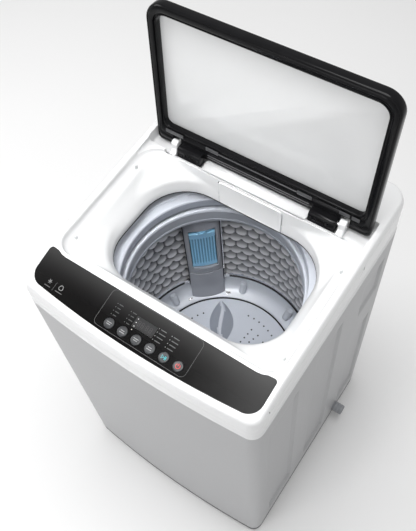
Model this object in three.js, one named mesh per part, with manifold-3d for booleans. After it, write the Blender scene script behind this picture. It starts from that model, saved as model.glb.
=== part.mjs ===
// Top load washing machine. Millimetres, +Z up, front towards -Y, standing on z = 0.
// The lid is modelled open, leaning on its stop.
import * as THREE from 'three';
import { mergeVertices } from 'three/addons/utils/BufferGeometryUtils.js';
import Module from 'manifold-3d';

const wasm = await Module();
wasm.setup();

// ---------------------------------------------------------------- driving dimensions

const GAP = 0.3;                // between pieces that touch

// Cabinet
const CABINET_W = 540;
const CABINET_D = 560;          // back panel to the corners of the front
const CABINET_H = 764;          // height of the steel wrap
const FRONT_BOW = 12;           // bulge of the front at its middle
const FRONT_R = 26;             // upright corners of the front
const REAR_R = 45;              // upright corners of the back
const SHEET = 1;
const REAR_FLANGE = 62;         // steel returned behind each rear corner
const PANEL_LAP = 12;           // how far the back panel laps over the wrap
const FOOT_H = 20;
const FOOT_R = 20;
const FOOT_INSET = 46;
const STEM_R = 5;
const STEM_GAP = 0.4;
const BASE_H = 18;
const BASE_RAIL = 66;           // width of the base's rails

// Top cover
const COVER_H = 95;
const COVER_WALL = 3;
const RIM_SLOPE = 0.04;         // the rims fall slightly towards the front
const FRONT_LIP = 17;           // white lip in front of the control panel
const SIDE_LIP = 15;
const FASCIA_D = 76;
const FASCIA_T = 4;
const FASCIA_SLOPE = 0.227;     // fall of the control panel towards the front
const FASCIA_R = 30;
const LEDGE_DROP = 24;          // lid ledge below the rims
const LEDGE_W = 14;
const THROAT_W = 400;           // opening above the drum
const THROAT_BACK_R = 100;
const THROAT_FRONT_R = 85;
const THROAT_FRONT_EDGE = 41;   // ledge's front edge to the opening
const COLLAR_H = 12;
const BASIN_REAR_R = 46;

// Lid
const REAR_DECK = 134;          // hinge axis to the back of the machine
const HINGE_DROP = 15;          // hinge axis below the rear deck
const LID_SIDE_GAP = 4;
const LID_T = 22;
const LID_LIFT = 4;             // underside of the lid above the hinge axis
const LID_TAIL = 8;             // lid behind the hinge axis
const LID_R = 38;
const LID_BORDER = 20;
const LID_REAR_BORDER = 38;
const GLASS_T = 5;
const GLASS_LAP = 7;
const OPEN_ANGLE = 94;          // degrees from level to the open stop
const PIN_R = 4;
const PIN_GAP = 0.4;
const PIN_GRIP = 24;            // length of a pin inside its knuckle
const BUMPER_R = 5;
const BUMPER_Y = [-140, 60];
const EAR_INNER_X = 187;
const EAR_T = 15;
const KNUCKLE_W = 57;
const KNUCKLE_DROP = 14.5;
const KNUCKLE_BACK = 16;
const KNUCKLE_FRONT = 12;

// Controls
const BUTTON_NAMES = ['program_button', 'water_button', 'timer_button',
  'option_button', 'start_pause_button', 'power_button'];
const BUTTON_R = 10;
const BUTTON_PITCH = 31;
const BUTTON_ROW_X = 16;
const BUTTON_ROW_V = -30;       // row in front of the control panel's middle
const BUTTON_GAP = 0.6;
const DISPLAY_W = 46;
const DISPLAY_D = 22;
const DISPLAY_V = -2;
const BOARD_W = 214;
const BOARD_D = 56;
const BOARD_DEPTH = 12.5;

// Detergent drawer
const DRAWER_W = 150;
const DRAWER_H = 50;
const DRAWER_L = 96;
const DRAWER_WALL = 2.5;
const DRAWER_TOP_DROP = 31;     // drawer's top edge below the rear deck
const DRAWER_GAP = 1.5;
const DRAWER_FACE_T = 6;
const TRAY_DROP = 9;            // tray's edge below the top of the drawer's face
const TRAY_INSET = 6;

// Tub and drum
const DRUM_SEGMENTS = 36;
const DRUM_Y = -18;
const TUB_SIDE_GAP = 18;
const TUB_FRONT_GAP = 10;
const TUB_WALL = 3;
const TUB_FLOOR_Z = 262;
const TUB_FLOOR_T = 4;
const TUB_TOP_Z = 756;
const RING_T = 4;
const DRUM_GAP = 16;            // drum wall to tub wall
const DRUM_WALL = 1.5;
const DRUM_FLOOR_Z = 300;
const DRUM_FLOOR_T = 12;
const SKIRT_H = 72;             // plastic drum base, up to the steel wall
const BALANCE_TOP_Z = 727;
const BALANCE_H = 43;
const BALANCE_W = 44;
const PULSATOR_GAP = 2.5;
const PULSATOR_RIM_H = 22;      // pulsator's edge above the drum floor
const WELL_W = 45;              // drum base between the pulsator and the drum wall
const BLADES = 3;
const BLADE_ANGLE = 124;

// Lint filter
const FILTER_ANGLE = 133.5;
const COLUMN_W = 88;
const COLUMN_DEPTH = 24;
const CASSETTE_W = 64;
const CASSETTE_H = 150;
const CASSETTE_T = 10;
const CASSETTE_Z = 458;
const CASSETTE_GAP = 1.2;

// Drive
const SHAFT_R = 10;
const SHAFT_GAP = 0.5;
const SPIN_SHAFT_R = 17;
const PLATE_T = 3;
const PLATE_DROP = 12;          // mounting plate below the tub floor
const CLUTCH_R = 60;
const CLUTCH_H = 78;
const PULLEY_Z = 122;
const PULLEY_H = 20;
const CLUTCH_PULLEY_R = 76;
const MOTOR_PULLEY_R = 25;
const GROOVE = 6;
const BELT_T = 7;
const MOTOR_X = 132;
const MOTOR_R = 56;
const MOTOR_H = 84;
const MOTOR_SHAFT_R = 6;

// Suspension
const ROD_SIDE_INSET = 38;      // rods to the cabinet's sides, front and back
const ROD_FRONT_INSET = 37;
const ROD_REAR_INSET = 73;
const ROD_R = 4;
const ROD_FOOT_Z = 230;
const LUG_Z = 300;
const LUG_T = 18;
const BRACKET_Z = 748;
const BRACKET_T = 4;
const SPRING_R = 12;
const SPRING_WIRE = 2.5;
const SPRING_TURNS = 4;
const SPRING_STEPS = 6;           // facets to a turn

// Water
const SPIGOT_Y = 130;
const SPIGOT_Z = 62;
const SPIGOT_R = 14;
const SPIGOT_REACH = 28;
const INLET_X = -150;
const INLET_R = 12;
const INLET_REACH = 20;
const INLET_H = 50;             // inlet above the seam
const VALVE_X = -118;
const VALVE_Y = 96;
const DRAIN_R = 22;
const HOSE_R = 13;
const HOSE_WALL = 2;
const HOSE_LAP = 24;
const BARB_GAP = 1.4;

// Electrics
const GLAND_X = 150;
const GLAND_Z = 700;
const GLAND_HOLE_R = 9;
const GLAND_BORE_R = 4.5;
const CAPACITOR_R = 18;
const CAPACITOR_Z = 150;
const CAPACITOR_H = 78;

// ---------------------------------------------------------------- sizes that follow

const SIDE_X = CABINET_W / 2;
const BACK_Y = CABINET_D / 2;
const SHELL_Z = FOOT_H + BASE_H;
const SEAM_Z = SHELL_Z + CABINET_H;
const RIM_Z = SEAM_Z + COVER_H;
const HINGE_Y = BACK_Y - REAR_DECK;
const HINGE_Z = RIM_Z - HINGE_DROP;
const FASCIA_FRONT_Y = -BACK_Y + FRONT_LIP;
const FASCIA_BACK_Y = FASCIA_FRONT_Y + FASCIA_D;
const FASCIA_MID_Y = (FASCIA_FRONT_Y + FASCIA_BACK_Y) / 2;
const FASCIA_HALF_W = SIDE_X - SIDE_LIP;
const FASCIA_TILT = Math.atan(FASCIA_SLOPE);
const LEDGE_FRONT_Y = FASCIA_BACK_Y + 3.5;
const LEDGE_HALF_W = SIDE_X - 20;
const LID_HALF_W = LEDGE_HALF_W - LID_SIDE_GAP;
const LID_LEN = HINGE_Y - LEDGE_FRONT_Y - 2;
const POCKET_FRONT_Y = HINGE_Y - 17;
const POCKET_BACK_Y = HINGE_Y + 31;
const RIDGE_Z = HINGE_Z - 10;
const POCKET_Z = HINGE_Z - 14;
const WELL_Z = HINGE_Z - 24;
const BASIN_BACK_Y = POCKET_FRONT_Y - 4.5;
const THROAT_Z = SEAM_Z + 6;
const TUB_R = Math.min(SIDE_X - TUB_SIDE_GAP, BACK_Y + DRUM_Y - TUB_FRONT_GAP) - SHEET;
const DRUM_R = TUB_R - TUB_WALL - DRUM_GAP;
const BALANCE_INNER_R = DRUM_R - BALANCE_W;
const RING_INNER_R = BALANCE_INNER_R + 6;
const SKIRT_TOP_Z = DRUM_FLOOR_Z + SKIRT_H;
const WELL_R = DRUM_R - WELL_W - 2;
const PULSATOR_R = WELL_R - PULSATOR_GAP;
const PULSATOR_Z = DRUM_FLOOR_Z + 3;
const PLATE_TOP_Z = TUB_FLOOR_Z - PLATE_DROP;
const CLUTCH_TOP_Z = PLATE_TOP_Z - PLATE_T - GAP;
const DRAWER_TOP_Z = RIM_Z - DRAWER_TOP_DROP;
const DRAWER_FRONT_Y = BASIN_BACK_Y - 3.5;
const RIM_FALL_FRONT = RIM_SLOPE * (HINGE_Y - FASCIA_BACK_Y);
const FASCIA_BACK_Z = RIM_Z - RIM_FALL_FRONT + 1;
const INLET_Z = SEAM_Z + INLET_H;
const BARB_R = HOSE_R - HOSE_WALL - BARB_GAP;

// ---------------------------------------------------------------- solids

function solid(geometry) {
  const bare = geometry.clone();
  bare.deleteAttribute('normal');
  bare.deleteAttribute('uv');
  const merged = mergeVertices(bare, 1e-4);
  const mesh = new wasm.Mesh({
    numProp: 3,
    vertProperties: new Float32Array(merged.attributes.position.array),
    triVerts: new Uint32Array(merged.index.array),
  });
  return new wasm.Manifold(mesh);
}

function geometryOf(body) {
  const mesh = body.getMesh();
  const geometry = new THREE.BufferGeometry();
  geometry.setAttribute('position', new THREE.BufferAttribute(mesh.vertProperties, 3));
  geometry.setIndex(new THREE.BufferAttribute(mesh.triVerts, 1));
  return geometry;
}

function join(...bodies) {
  return bodies.reduce((sum, body) => sum.add(body));
}

function cut(body, ...tools) {
  return tools.reduce((rest, tool) => rest.subtract(tool), body);
}

function box(x0, x1, y0, y1, z0, z1) {
  const geometry = new THREE.BoxGeometry(x1 - x0, y1 - y0, z1 - z0);
  geometry.translate((x0 + x1) / 2, (y0 + y1) / 2, (z0 + z1) / 2);
  return solid(geometry);
}

function slab(shape, z0, z1, curveSegments = 4) {
  const geometry = new THREE.ExtrudeGeometry(shape,
    { depth: z1 - z0, bevelEnabled: false, curveSegments });
  geometry.translate(0, 0, z0);
  return solid(geometry);
}

function turnedGeometry(profile, segments, x = 0, y = 0) {
  const points = profile.map(([r, z]) => new THREE.Vector2(r, z));
  if (profile[0][0] > 0) points.push(points[0].clone());
  const geometry = new THREE.LatheGeometry(points, segments);
  geometry.rotateX(Math.PI / 2);
  geometry.translate(x, y, 0);
  return geometry;
}

// A profile of [radius, height] points, anticlockwise, turned about an upright axis.
function turned(profile, segments, x = 0, y = 0) {
  return solid(turnedGeometry(profile, segments, x, y));
}

function rod(r, z0, z1, x = 0, y = 0, segments = 16) {
  return turned([[0, z0], [r, z0], [r, z1], [0, z1]], segments, x, y);
}

function rodAlong(axis, r, from, to, segments = 16) {
  const geometry = new THREE.CylinderGeometry(r, r, to - from, segments);
  const centre = (from + to) / 2;
  if (axis === 'x') geometry.rotateZ(Math.PI / 2).translate(centre, 0, 0);
  else geometry.translate(0, centre, 0);
  return geometry;
}

// A solid between stacked rings of points, all with the same number of points.
function loft(rings) {
  const n = rings[0].length;
  const position = rings.flat().flatMap((p) => [p.x, p.y, p.z]);
  const index = [];
  for (let k = 0; k + 1 < rings.length; k += 1) {
    for (let i = 0; i < n; i += 1) {
      const a = k * n + i;
      const b = k * n + (i + 1) % n;
      index.push(a, b, b + n, a, b + n, a + n);
    }
  }
  const contour = rings[0].map((p) => new THREE.Vector2(p.x, p.y));
  const last = (rings.length - 1) * n;
  for (const [a, b, c] of THREE.ShapeUtils.triangulateShape(contour, [])) {
    index.push(c, b, a, last + a, last + b, last + c);
  }
  const geometry = new THREE.BufferGeometry();
  geometry.setAttribute('position', new THREE.Float32BufferAttribute(position, 3));
  geometry.setIndex(index);
  return solid(geometry);
}

// ---------------------------------------------------------------- outlines

// Plan of the cabinet, drawn in by an inset: square back, bowed front.
function cabinetPlan(inset) {
  const x = SIDE_X - inset;
  const back = BACK_Y - inset;
  const front = -BACK_Y + inset;
  const rf = Math.max(FRONT_R - inset, 2);
  const rb = Math.max(REAR_R - inset, 2);
  const shape = new THREE.Shape();
  shape.moveTo(x, front + rf);
  shape.lineTo(x, back - rb);
  shape.absarc(x - rb, back - rb, rb, 0, Math.PI / 2, false);
  shape.absarc(-x + rb, back - rb, rb, Math.PI / 2, Math.PI, false);
  shape.absarc(-x + rf, front + rf, rf, Math.PI, 1.5 * Math.PI, false);
  shape.quadraticCurveTo(0, front - 2 * FRONT_BOW, x - rf, front);
  shape.absarc(x - rf, front + rf, rf, 1.5 * Math.PI, 2 * Math.PI, false);
  return shape;
}

// Points of a rounded rectangle, with its own radius at the front and at the back.
function roundedRing(halfW, front, back, frontR, backR, heightAt, perCorner = 5) {
  const corners = [
    [halfW - backR, back - backR, backR, 0],
    [-halfW + backR, back - backR, backR, Math.PI / 2],
    [-halfW + frontR, front + frontR, frontR, Math.PI],
    [halfW - frontR, front + frontR, frontR, 1.5 * Math.PI],
  ];
  const ring = [];
  for (const [cx, cy, r, start] of corners) {
    for (let i = 0; i <= perCorner; i += 1) {
      const angle = start + (Math.PI / 2) * (i / perCorner);
      const x = cx + r * Math.cos(angle);
      const y = cy + r * Math.sin(angle);
      ring.push(new THREE.Vector3(x, y, heightAt(y)));
    }
  }
  return ring;
}

function ringShape(ring) {
  return new THREE.Shape(ring.map((p) => new THREE.Vector2(p.x, p.y)));
}

function roundedSlab(halfW, front, back, frontR, backR, z0, z1) {
  return slab(ringShape(roundedRing(halfW, front, back, frontR, backR, () => 0, 6)), z0, z1);
}

// A side view of [y, z] points, run across the whole width of the machine.
function acrossWidth(profile) {
  const shape = new THREE.Shape(profile.map(([y, z]) => new THREE.Vector2(y, z)));
  const width = CABINET_W + 40;
  const geometry = new THREE.ExtrudeGeometry(shape, { depth: width, bevelEnabled: false });
  geometry.applyMatrix4(new THREE.Matrix4().set(
    0, 0, 1, -width / 2,
    1, 0, 0, 0,
    0, 1, 0, 0,
    0, 0, 0, 1,
  ));
  return solid(geometry);
}

// ---------------------------------------------------------------- scene graph

const machine = new THREE.Group();
const FINISHES = {
  steel_paint: [0xc3c5c8, 0.45, 0.2],
  white_plastic: [0xf1f2f3, 0.25, 0],
  black_gloss: [0x0c0c0d, 0.12, 0],
  glass: [0xdfe3e4, 0.05, 0],
  grey_plastic: [0x8d939d, 0.4, 0],
  light_grey: [0xd3d5d8, 0.4, 0],
  dark_plastic: [0x3b3d40, 0.6, 0],
  stainless: [0x9a9ba0, 0.3, 1],
  blue_plastic: [0x6fa3c4, 0.45, 0],
  bare_steel: [0x8a8d90, 0.4, 1],
  aluminium: [0xb4b6b8, 0.45, 1],
  rubber: [0x1b1b1c, 0.8, 0],
  board_green: [0x2f5b3a, 0.6, 0],
  button_grey: [0x2e3033, 0.35, 0],
};
const finishes = Object.fromEntries(Object.entries(FINISHES).map(
  ([name, [color, roughness, metalness]]) =>
    [name, new THREE.MeshStandardMaterial({ color, roughness, metalness })],
));

function piece(name, body, finish, parent = machine) {
  const geometry = body.isBufferGeometry ? body : geometryOf(body);
  const mesh = new THREE.Mesh(geometry, finishes[finish]);
  mesh.name = name;
  parent.add(mesh);
  return mesh;
}

// ---------------------------------------------------------------- cabinet

function cabinetShell() {
  const wrap = cut(
    slab(cabinetPlan(0), SHELL_Z, SEAM_Z),
    slab(cabinetPlan(SHEET), SHELL_Z - 1, SEAM_Z + 1),
  );
  const backHalf = SIDE_X - REAR_FLANGE;
  const backGap = box(-backHalf, backHalf, BACK_Y - REAR_R, BACK_Y + 1, SHELL_Z - 1, SEAM_Z + 1);
  const drainHole = rodAlong('x', SPIGOT_R + GAP, SIDE_X - 10, SIDE_X + 10, 20);
  drainHole.translate(0, SPIGOT_Y, SPIGOT_Z);
  piece('cabinet_shell', cut(wrap, backGap, solid(drainHole)), 'steel_paint');

  const panelHalf = backHalf + PANEL_LAP;
  const panel = box(-panelHalf, panelHalf, BACK_Y + GAP, BACK_Y + GAP + SHEET,
    SHELL_Z, SEAM_Z - GAP);
  const cordHole = rodAlong('y', GLAND_HOLE_R, BACK_Y - 4, BACK_Y + 8, 20);
  cordHole.translate(GLAND_X, 0, GLAND_Z);
  piece('back_panel', cut(panel, solid(cordHole)), 'steel_paint');
}

function cableGland() {
  const inner = GLAND_BORE_R;
  const neck = GLAND_HOLE_R - GAP;
  const y = BACK_Y + GAP + SHEET + GAP;
  const collar = turnedGeometry([
    [inner, -8], [neck, -8], [neck, 0], [neck + 5, 0], [neck + 5, 3], [neck + 1, 9], [inner, 9],
  ], 20);
  collar.rotateX(-Math.PI / 2);
  collar.translate(GLAND_X, y, GLAND_Z);
  piece('cable_gland', collar, 'dark_plastic');
}

function footPlaces() {
  const x = SIDE_X - FOOT_INSET;
  const y = BACK_Y - FOOT_INSET;
  return [
    ['foot_front_left', -x, -y],
    ['foot_front_right', x, -y],
    ['foot_rear_left', -x, y],
    ['foot_rear_right', x, y],
  ];
}

function baseFrame() {
  const top = SHELL_Z - GAP;
  const inner = roundedSlab(SIDE_X - BASE_RAIL, -BACK_Y + BASE_RAIL, BACK_Y - BASE_RAIL,
    30, 30, FOOT_H - 1, top + 1);
  const stems = footPlaces().map(([, x, y]) => rod(STEM_R + STEM_GAP, FOOT_H - 1, top + 1, x, y, 14));
  piece('base_frame', cut(slab(cabinetPlan(0), FOOT_H, top), inner, ...stems), 'dark_plastic');

  for (const [name, x, y] of footPlaces()) {
    const foot = turnedGeometry([
      [0, 0], [FOOT_R, 0], [FOOT_R, 7], [STEM_R + 5, 12], [STEM_R + 5, FOOT_H - GAP], [STEM_R, FOOT_H - GAP],
      [STEM_R, top - 2], [0, top - 2],
    ], 14);
    piece(name, foot, 'rubber').position.set(x, y, 0);
  }
}

// ---------------------------------------------------------------- top cover

// Height of the cover's rims at a distance y along the machine.
function rimHeight(y) {
  return RIM_Z - RIM_SLOPE * Math.max(0, HINGE_Y - y);
}

function fasciaHeight(y) {
  return FASCIA_BACK_Z + FASCIA_SLOPE * (y - FASCIA_BACK_Y);
}

// Side view of the cover, lowered and drawn in by a wall.
function coverProfile(wall, seatDepth) {
  const low = SEAM_Z + (wall > 0 ? -5 : GAP);
  const back = BACK_Y - wall;
  const front = -BACK_Y - FRONT_BOW + wall;
  const fillet = 10;
  const lip = FASCIA_FRONT_Y - 6;
  return [
    [back, low],
    [back, RIM_Z - fillet - wall],
    [back - 3, RIM_Z - 3 - wall],
    [back - fillet, RIM_Z - wall],
    [HINGE_Y, RIM_Z - wall],
    [FASCIA_BACK_Y, FASCIA_BACK_Z - wall],
    [FASCIA_BACK_Y - 1, fasciaHeight(FASCIA_BACK_Y - 1) - wall - seatDepth],
    [lip, fasciaHeight(lip) - wall - seatDepth],
    [(lip + front) / 2 - 1, fasciaHeight(lip) - 5 - wall - seatDepth],
    [front, fasciaHeight(lip) - 18 - wall],
    [front, low],
  ].reverse();
}

// The basin from above its rims down to the opening over the drum.
function basin(spread, extraDepth) {
  const rings = [];
  const level = (drop) => (y) => rimHeight(y) - drop - extraDepth;
  const flat = (z) => () => z - extraDepth;
  const ring = (inset, height) => rings.push(roundedRing(
    LEDGE_HALF_W - inset + spread, LEDGE_FRONT_Y + inset - spread,
    BASIN_BACK_Y - inset * 0.1 + spread, 34 - inset + spread, BASIN_REAR_R + spread, height,
  ));
  const throat = (outset, z) => rings.push(roundedRing(
    THROAT_W / 2 + outset + spread, LEDGE_FRONT_Y + THROAT_FRONT_EDGE - outset - spread,
    BASIN_BACK_Y - 2 + outset * 0.1 + spread,
    THROAT_FRONT_R + spread, THROAT_BACK_R + spread, flat(z),
  ));
  rings.push(roundedRing(
    THROAT_W / 2 + spread, LEDGE_FRONT_Y + THROAT_FRONT_EDGE - spread,
    BASIN_BACK_Y - 2 + spread, THROAT_FRONT_R + spread, THROAT_BACK_R + spread,
    () => THROAT_Z - COLLAR_H - 20,
  ));
  throat(0, THROAT_Z);
  throat(3, THROAT_Z + 8);
  throat(14, THROAT_Z + 26);
  ring(LEDGE_W, level(LEDGE_DROP));
  ring(5, level(LEDGE_DROP - 5));
  ring(0, level(12));
  rings.push(roundedRing(
    LEDGE_HALF_W + spread, LEDGE_FRONT_Y - spread, BASIN_BACK_Y + spread,
    34 + spread, BASIN_REAR_R + spread, () => RIM_Z + 40 - extraDepth,
  ));
  return loft(rings);
}

function fasciaRing(grow) {
  const v = (y) => (y - FASCIA_MID_Y) / Math.cos(FASCIA_TILT);
  const x = FASCIA_HALF_W + grow;
  const back = v(FASCIA_BACK_Y) + grow;
  const front = v(FASCIA_FRONT_Y) - grow;
  const r = FASCIA_R + grow;
  const tip = 7 + grow;
  const shape = new THREE.Shape();
  shape.moveTo(x, front + r);
  shape.absarc(x - tip, back - tip, tip, 0, Math.PI / 2, false);
  shape.absarc(-x + tip, back - tip, tip, Math.PI / 2, Math.PI, false);
  shape.absarc(-x + r, front + r, r, Math.PI, 1.45 * Math.PI, false);
  shape.quadraticCurveTo(0, front - 2 * FRONT_BOW, x - r * 0.85, front);
  shape.absarc(x - r, front + r, r, 1.55 * Math.PI, 2 * Math.PI, false);
  return shape;
}

// Turns a solid drawn in the control panel's own plane into its place.
function onFascia(geometry) {
  const placed = geometry.clone();
  placed.rotateX(FASCIA_TILT);
  placed.translate(0, FASCIA_MID_Y, fasciaHeight(FASCIA_MID_Y));
  return placed;
}

function fasciaTool(shape, w0, w1) {
  const geometry = new THREE.ExtrudeGeometry(shape,
    { depth: w1 - w0, bevelEnabled: false, curveSegments: 5 });
  geometry.translate(0, 0, w0);
  return solid(onFascia(geometry));
}

function rectangle(x0, x1, y0, y1) {
  const shape = new THREE.Shape();
  shape.moveTo(x0, y0);
  shape.lineTo(x1, y0);
  shape.lineTo(x1, y1);
  shape.lineTo(x0, y1);
  return shape;
}

function buttonX(index) {
  return BUTTON_ROW_X + (index - (BUTTON_NAMES.length - 1) / 2) * BUTTON_PITCH;
}

function polygon(r, sides) {
  const corner = (i) => new THREE.Vector2(
    r * Math.cos((i / sides) * 2 * Math.PI), r * Math.sin((i / sides) * 2 * Math.PI));
  return new THREE.Shape(Array.from({ length: sides }, (_, i) => corner(i)));
}

function circleHole(x, y, r) {
  const path = new THREE.Path();
  path.absarc(x, y, r, 0, 2 * Math.PI, true);
  return path;
}

function topCover() {
  const outer = slab(cabinetPlan(0), SEAM_Z, RIM_Z + 20).intersect(
    acrossWidth(coverProfile(0, 0)));
  const room = slab(cabinetPlan(COVER_WALL), SEAM_Z - 5, RIM_Z).intersect(
    acrossWidth(coverProfile(COVER_WALL, FASCIA_T + GAP)));
  const pocketX = LEDGE_HALF_W + 3;
  const wellX0 = EAR_INNER_X - KNUCKLE_W - 8;
  const wall = COVER_WALL;
  const pocketBlock = box(-pocketX - wall, pocketX + wall, POCKET_FRONT_Y - wall,
    POCKET_BACK_Y + wall, POCKET_Z - wall, RIM_Z + 30);
  const sides = [-1, 1];
  const across = (side, a, b) => [Math.min(side * a, side * b), Math.max(side * a, side * b)];
  const wellBlocks = sides.map((side) => box(
    ...across(side, wellX0 - wall, EAR_INNER_X + wall), POCKET_FRONT_Y - wall,
    POCKET_BACK_Y + wall, WELL_Z - wall, RIM_Z + 30));
  const shelfFront = BASIN_BACK_Y - BASIN_REAR_R;
  const shelfBlock = box(-LEDGE_HALF_W - wall, LEDGE_HALF_W + wall, shelfFront - wall,
    POCKET_FRONT_Y + 1, HINGE_Z - wall, RIM_Z + 30);
  const hollow = cut(room, basin(wall, 2), pocketBlock, shelfBlock, ...wellBlocks);

  const pocket = box(-pocketX, pocketX, POCKET_FRONT_Y, POCKET_BACK_Y, POCKET_Z, RIM_Z + 30);
  const shelf = box(-LEDGE_HALF_W, LEDGE_HALF_W, shelfFront, POCKET_FRONT_Y + 1, HINGE_Z,
    RIM_Z + 30);
  const ridge = box(-LEDGE_HALF_W + 40, LEDGE_HALF_W - 40, BASIN_BACK_Y - 20,
    POCKET_BACK_Y - 1, RIDGE_Z, RIM_Z + 30);
  const wells = sides.map((side) => box(
    ...across(side, wellX0, EAR_INNER_X - 0.01), POCKET_FRONT_Y,
    POCKET_BACK_Y, WELL_Z, RIM_Z + 30));
  const drawerHalf = DRAWER_W / 2 + DRAWER_GAP;
  const drawerLow = DRAWER_TOP_Z - DRAWER_H - DRAWER_GAP;
  const faceRoom = box(-drawerHalf, drawerHalf, BASIN_BACK_Y - 30,
    DRAWER_FRONT_Y + DRAWER_FACE_T + 0.5, drawerLow, DRAWER_TOP_Z + DRAWER_GAP);
  const trayRoom = box(-drawerHalf, drawerHalf, BASIN_BACK_Y - 30, POCKET_FRONT_Y + 10,
    drawerLow, DRAWER_TOP_Z - TRAY_DROP + DRAWER_GAP);
  const inletHole = rodAlong('y', INLET_R + GAP, BACK_Y - 12, BACK_Y + 12, 20);
  inletHole.translate(INLET_X, 0, INLET_Z);
  const windowHalf = BOARD_W / 2 - 12;
  const boardWindow = fasciaTool(rectangle(
    BUTTON_ROW_X - windowHalf, BUTTON_ROW_X + windowHalf,
    BUTTON_ROW_V - BUTTON_R - 5, DISPLAY_V + DISPLAY_D / 2 + 6), -30, 30);
  const seat = fasciaTool(fasciaRing(GAP), -FASCIA_T - GAP, 30);

  let cover = cut(outer, hollow, basin(0, 0), pocket, shelf, ridge, ...wells, faceRoom,
    trayRoom, solid(inletHole), seat, boardWindow);
  for (const side of sides) {
    const [x0, x1] = across(side, EAR_INNER_X, EAR_INNER_X + EAR_T);
    const pinHole = rodAlong('x', PIN_R + PIN_GAP, x0 - 5, x1 + 5, 20);
    pinHole.translate(0, HINGE_Y, HINGE_Z);
    const ear = box(x0, x1, HINGE_Y - 8, HINGE_Y + 8, POCKET_Z - 1, RIM_Z + 2);
    cover = cover.add(cut(ear, solid(pinHole)));
    for (const y of BUMPER_Y) {
      const underside = HINGE_Z + LID_LIFT - RIM_SLOPE * (HINGE_Y - y);
      const x = side * (LEDGE_HALF_W - LEDGE_W);
      cover = cover.add(rod(BUMPER_R, rimHeight(y) - LEDGE_DROP - 6, underside - 0.5, x, y, 12));
    }
  }
  piece('top_cover', cover, 'white_plastic');
}

// ---------------------------------------------------------------- controls

function controls() {
  const plate = fasciaRing(0);
  BUTTON_NAMES.forEach((name, i) => {
    plate.holes.push(circleHole(buttonX(i), BUTTON_ROW_V, BUTTON_R + BUTTON_GAP));
  });
  const half = DISPLAY_W / 2;
  const displayX = buttonX(2);
  const hole = new THREE.Path(rectangle(displayX - half, displayX + half,
    DISPLAY_V - DISPLAY_D / 2, DISPLAY_V + DISPLAY_D / 2).getPoints().reverse());
  plate.holes.push(hole);
  piece('control_fascia', fasciaTool(plate, -FASCIA_T, 0), 'black_gloss');

  piece('display_window', fasciaTool(rectangle(
    displayX - half + GAP, displayX + half - GAP,
    DISPLAY_V - DISPLAY_D / 2 + GAP, DISPLAY_V + DISPLAY_D / 2 - GAP), -FASCIA_T, 0), 'black_gloss');

  const flange = BUTTON_R + 2.4;
  const flangeTop = -FASCIA_T - 0.6;
  BUTTON_NAMES.forEach((name, i) => {
    const button = turnedGeometry([
      [0, flangeTop - 2], [flange, flangeTop - 2], [flange, flangeTop], [BUTTON_R, flangeTop],
      [BUTTON_R, 0.6], [BUTTON_R - 1, 1.4], [0, 1.1],
    ], 18, buttonX(i), BUTTON_ROW_V);
    piece(name, onFascia(button), 'button_grey');
  });

  const boardHalf = BOARD_W / 2;
  piece('control_board', fasciaTool(rectangle(
    BUTTON_ROW_X - boardHalf, BUTTON_ROW_X + boardHalf,
    BUTTON_ROW_V - 14, BUTTON_ROW_V - 14 + BOARD_D), -BOARD_DEPTH - 2, -BOARD_DEPTH), 'board_green');
}

// ---------------------------------------------------------------- lid

function lid() {
  const hinge = new THREE.Group();
  hinge.position.set(0, HINGE_Y, HINGE_Z);
  hinge.rotation.x = -THREE.MathUtils.degToRad(OPEN_ANGLE);
  machine.add(hinge);

  const z0 = LID_LIFT;
  const z1 = LID_LIFT + LID_T;
  const windowX = LID_HALF_W - LID_BORDER;
  const windowFront = -LID_LEN + LID_BORDER + 2;
  const windowBack = -LID_REAR_BORDER;
  const glassZ = z1 - GLASS_T - 1;
  const lap = GLASS_LAP;
  let frame = roundedSlab(LID_HALF_W, -LID_LEN, LID_TAIL, LID_R, 8, z0, z1);
  frame = cut(frame,
    roundedSlab(windowX, windowFront, windowBack, LID_R - 14, 14, z0 - 1, z1 + 1),
    roundedSlab(windowX + lap, windowFront - lap, windowBack + lap, LID_R - 12, 16,
      glassZ - GAP, z1 + 1));
  for (const side of [-1, 1]) {
    const place = (a, b) => [Math.min(side * a, side * b), Math.max(side * a, side * b)];
    const outerX = EAR_INNER_X - 4;
    const knuckle = box(...place(outerX - KNUCKLE_W, outerX),
      -KNUCKLE_FRONT, KNUCKLE_BACK, -KNUCKLE_DROP, z0 + 1);
    const earRoom = box(...place(EAR_INNER_X - 2, EAR_INNER_X + EAR_T + 2),
      -21, LID_TAIL + 1, z0 - 1, z1 + 1);
    const pinHole = rodAlong('x', PIN_R + GAP, ...place(outerX - PIN_GRIP, outerX + 10), 20);
    frame = cut(frame.add(knuckle), earRoom, solid(pinHole));
    const [pin0, pin1] = place(outerX - PIN_GRIP + 1, EAR_INNER_X + EAR_T + 1);
    piece(side < 0 ? 'hinge_pin_left' : 'hinge_pin_right',
      rodAlong('x', PIN_R, pin0, pin1, 20), 'bare_steel', hinge);
  }
  piece('lid_frame', frame, 'black_gloss', hinge);
  const edge = lap - GAP;
  piece('lid_glass', roundedSlab(windowX + edge, windowFront - edge, windowBack + edge,
    LID_R - 12, 16, glassZ, z1 - 1), 'glass', hinge);
}

function lidSwitch() {
  const x = EAR_INNER_X + EAR_T + 6;
  const top = POCKET_Z - COVER_WALL - GAP;
  piece('lid_switch', join(
    box(x, x + 30, HINGE_Y - 10, HINGE_Y + 12, top - 18, top),
    box(x + 8, x + 20, HINGE_Y - 4, HINGE_Y + 6, top - 28, top - 17),
  ), 'dark_plastic');
}

// ---------------------------------------------------------------- detergent drawer and inlet

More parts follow.
